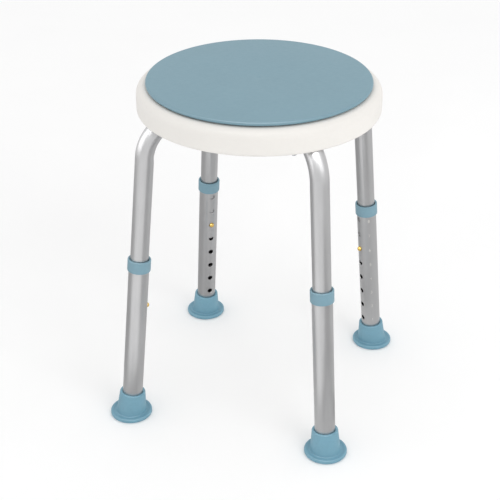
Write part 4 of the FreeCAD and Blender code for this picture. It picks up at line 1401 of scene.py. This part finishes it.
@dataclass
class NumberStamp:
    """Stamps small numerals on a tube as low rounded ridges.

    Attributes:
        line: the tube's centre line.
        radius: the tube's outside radius.
        around: angle of the numerals' middle.
        height: height of a numeral.
        width: width of a numeral.
        stroke: half the width of a stroke.
        relief: how far a stroke stands out.
        arc_points: points in each arc.
        section_points: points around a stroke.
    """

    line: StraightLine
    radius: float
    around: float
    height: float = 0.0042
    width: float = 0.0024
    stroke: float = 0.00026
    relief: float = 0.00009
    arc_points: int = 14
    section_points: int = 8

    def path(self, number: int) -> Array:
        """Middle line of a numeral in a box one wide and one high.

        Each numeral is one stroke: straight runs between corners, and arcs given by a centre, two
        radii and two angles.

        Args:
            number: the numeral, from 1 to 8.

        Returns:
            The stroke's points.
        """
        def arc(across: float, up: float, wide: float, high: float, start: float, end: float) -> Array:
            """Points of an elliptical arc between two angles in degrees."""
            turn = np.radians(np.linspace(start, end, self.arc_points))
            return np.stack([across + wide * np.cos(turn), up + high * np.sin(turn)], axis=-1)

        strokes = {
            1: [np.array([[0.2, 0.78], [0.55, 1.0], [0.55, 0.0]])],
            2: [arc(0.5, 0.72, 0.42, 0.28, 165.0, -35.0), np.array([[0.06, 0.0], [0.95, 0.0]])],
            3: [arc(0.45, 0.76, 0.4, 0.24, 150.0, -80.0), arc(0.45, 0.26, 0.46, 0.26, 85.0, -150.0)],
            4: [np.array([[0.72, 0.0], [0.72, 1.0], [0.04, 0.3], [0.98, 0.3]])],
            5: [np.array([[0.88, 1.0], [0.2, 1.0], [0.14, 0.56]]),
                arc(0.46, 0.31, 0.44, 0.31, 120.0, -150.0)],
            6: [arc(0.62, 0.55, 0.55, 0.45, 100.0, 190.0), arc(0.5, 0.29, 0.43, 0.29, 170.0, -190.0)],
            7: [np.array([[0.05, 1.0], [0.93, 1.0], [0.38, 0.0]])],
            8: [arc(0.5, 0.76, 0.36, 0.24, -80.0, 262.0), arc(0.5, 0.26, 0.44, 0.26, 98.0, -262.0)],
        }
        return np.concatenate(strokes[number])

    def strike(self, skin: Skin, number: int, along: float) -> None:
        """Add one numeral.

        A stroke's section is a low half ellipse, carried along the middle line and wrapped on the
        tube: the offset across becomes an angle, and the offset up a length along the tube.

        Args:
            skin: the mesh it joins.
            number: the numeral.
            along: where its middle is along the tube.
        """
        middle = (self.path(number) - 0.5) * np.array([self.width, self.height])
        run = np.gradient(middle, axis=0)
        run /= np.linalg.norm(run, axis=1, keepdims=True)
        beside = np.stack([-run[:, 1], run[:, 0]], axis=-1)
        turn = np.linspace(0.0, FULL_TURN, self.section_points, endpoint=False)
        offset = middle[:, None] + (self.stroke * np.cos(turn))[None, :, None] * beside[:, None]
        radius = np.broadcast_to(self.radius + self.relief * np.sin(turn), offset.shape[:-1])
        rows = skin.add(self.line.place(along + offset[..., 1], self.around - offset[..., 0] / self.radius,
                                        radius))
        skin.weave(rows)
        for end, spot in ((0, middle[0]), (-1, middle[-1])):
            around = np.array([self.around - spot[0] / self.radius])
            tip = self.line.place(np.array([along + spot[1]]), around, np.array([self.radius]))
            skin.pole(rows[end], tip)


# ---------------------------------------------------------------- studio


@dataclass(frozen=True)
class Card:
    """A flat card that only shows in the stool's reflections.

    Attributes:
        name: the card's name.
        corner: one of its corners.
        across: the edge from there to the next corner.
        away: the other edge.
        brightness: how bright it is.
    """

    name: str
    corner: Place
    across: Place
    away: Place
    brightness: float

    def grid(self) -> Array:
        """The card's four corners, as a grid of two rows."""
        low = np.array([self.corner, np.add(self.corner, self.across)], dtype=float)
        return np.stack([low, low + np.array(self.away)])


@dataclass
class Studio:
    """The pale floor, the soft lights and the camera.

    Attributes:
        floor_half: half the floor's width.
        floor_steps: points along each side of the floor.
        world_strength: brightness of the even surrounding light.
        camera_place: where the camera stands.
        camera_down: how far it looks down, in degrees.
        lens: focal length in millimetres.
        sensor: sensor width in millimetres.
        fan_height: how far the fans lie above the floor.
        fan_reach: distance from the foot to each fan's near and far edge.
        fan_steps: points along a fan's edge.
        fans: bearing of each fan's two sides, in degrees from +X, and its brightness.
        key_place: where the key light hangs.
        key_aim: the point it faces.
        key_size: its width and height.
        key_watts: its power.
        cards: the flat cards.
    """

    floor_half: float = 6.0
    floor_steps: int = 25
    world_strength: float = 0.97
    camera_place: Place = (-0.0124, -1.5748, 1.0971)
    camera_down: float = 29.14
    lens: float = 90.1
    sensor: float = 36.0
    fan_height: float = 0.002
    fan_reach: tuple[float, float] = (0.03, 1.2)
    fan_steps: int = 13
    fans: tuple[tuple[float, float, float], ...] = (
        (100.0, 186.0, 0.52), (-134.0, -118.0, 1.18), (-52.0, -42.0, 0.30), (-42.0, 75.0, 0.74))
    key_place: Place = (1.2, -1.6, 1.8)
    key_aim: Place = (0.0, 0.0, 0.3)
    key_size: tuple[float, float] = (1.2, 1.2)
    key_watts: float = 9.0
    cards: tuple[Card, ...] = (
        Card("left_card", (-1.6, -1.1, 0.35), (0.0, 1.6, 0.0), (0.0, 0.0, 1.5), 2.3),
        Card("right_card", (0.5, -1.5, 0.8), (1.2, 0.5, 0.0), (0.0, 0.0, 1.2), 2.0),
        Card("top_card", (-1.1, -1.5, 1.9), (1.6, 0.0, 0.0), (0.0, 1.1, 0.3), 11.0))

    def floor(self) -> None:
        """Lay the floor: a flat sheet with a soft, barely uneven white finish."""
        steps = np.linspace(-self.floor_half, self.floor_half, self.floor_steps)
        across, away = np.meshgrid(steps, steps, indexing="xy")
        skin = Skin()
        rows = skin.add(np.stack([across, away, np.zeros_like(across)], axis=-1))
        skin.weave(rows, closed=False)
        mesh_object = skin.piece("studio_floor")
        bench = ShaderBench("studio_paper")
        cloud = bench.noise(bench.place(PatternSpace.OBJECT, (1.0, 1.0, 1.0)), 3.0, 2.0)
        bench.drive("Base Color", bench.shade(bench.remap(cloud, 0.0, 1.0), (0.965, 0.965, 0.965),
                                              (0.98, 0.98, 0.98)))
        bench.number("Roughness", 0.9)
        bench.number("Specular IOR Level", 0.1)
        mesh_object.data.materials.append(bench.material)

    def world(self) -> None:
        """Fill the room with even white light."""
        world = bpy.data.worlds.new("studio_room")
        world.use_nodes = True
        background = world.node_tree.nodes["Background"]
        background.inputs["Color"].default_value = (1.0, 1.0, 1.0, 1.0)
        background.inputs["Strength"].default_value = self.world_strength
        bpy.context.scene.world = world

    def lamp(self, name: str, place: Sequence[float], aim: Sequence[float], size: Sequence[float],
             watts: float) -> None:
        """Hang one soft rectangular light.

        Args:
            name: the light's name.
            place: where it hangs.
            aim: the point it faces.
            size: its width and height.
            watts: its power.
        """
        light = bpy.data.lights.new(name, "AREA")
        light.shape = "RECTANGLE"
        light.size, light.size_y = size
        light.energy = watts
        item = bpy.data.objects.new(name, light)
        item.location = Vector(place)
        item.rotation_euler = (Vector(aim) - Vector(place)).to_track_quat("-Z", "Y").to_euler()
        bpy.context.scene.collection.objects.link(item)

    def reflected(self, name: str, points: Array, brightness: float) -> None:
        """Hang a card that only shows in the stool's reflections.

        Args:
            name: the card's name.
            points: the grid of points that it spans.
            brightness: how bright it is.
        """
        skin = Skin()
        rows = skin.add(points)
        skin.weave(rows, closed=False)
        card = skin.piece(name)
        card.visible_camera = False
        card.visible_diffuse = False
        card.visible_shadow = False
        card.visible_transmission = False
        bench = ShaderBench(name)
        bench.surface.inputs["Base Color"].default_value = (0.0, 0.0, 0.0, 1.0)
        bench.surface.inputs["Emission Color"].default_value = (1.0, 1.0, 1.0, 1.0)
        bench.number("Emission Strength", brightness)
        bench.number("Specular IOR Level", 0.0)
        card.data.materials.append(bench.material)

    def fan(self, name: str, leg: LegLine, start: float, end: float, brightness: float) -> None:
        """Lay a card on the floor that spreads like a fan from a leg's foot.

        Args:
            name: the card's name.
            leg: the leg that it spreads from.
            start: bearing of one side, in degrees from +X.
            end: bearing of the other side.
            brightness: how bright it is.
        """
        bearing = np.radians(np.linspace(start, end, self.fan_steps))
        across, out = np.meshgrid(bearing, np.array(self.fan_reach), indexing="xy")
        middle = np.array([leg.foot[0], leg.foot[1], self.fan_height])
        self.reflected(name, middle + np.stack([out * np.cos(across), out * np.sin(across),
                                                np.zeros_like(out)], axis=-1), brightness)

    def camera(self) -> None:
        """Stand the camera and look down at the stool."""
        data = bpy.data.cameras.new("studio_camera")
        data.lens = self.lens
        data.sensor_width = self.sensor
        camera = bpy.data.objects.new("studio_camera", data)
        camera.location = Vector(self.camera_place)
        camera.rotation_euler = (math.radians(90.0 - self.camera_down), 0.0, 0.0)
        bpy.context.scene.collection.objects.link(camera)
        bpy.context.scene.camera = camera

    def build(self) -> None:
        """Set up the whole studio."""
        self.camera()
        self.floor()
        self.world()
        self.lamp("key_light", self.key_place, self.key_aim, self.key_size, self.key_watts)
        for card in self.cards:
            self.reflected(card.name, card.grid(), card.brightness)
        for corner in Corner:
            leg = LegLine.read(corner)
            for number, (start, end, brightness) in enumerate(self.fans):
                self.fan("fan_%d_%s" % (number, corner.value), leg, start, end, brightness)
        bpy.context.scene.view_settings.view_transform = "Standard"


# ---------------------------------------------------------------- building


def main() -> None:
    """Build the studio, the finishes and each sub-assembly in order."""
    logging.basicConfig(level=logging.INFO, format="%(name)s: %(message)s")
    Studio().build()
    paints = Paintbox()
    paints.dress_frame()
    SwivelDisc().build(paints)
    for corner in Corner:
        Leg(corner).build(paints)


if __name__ == "__main__":
    main()
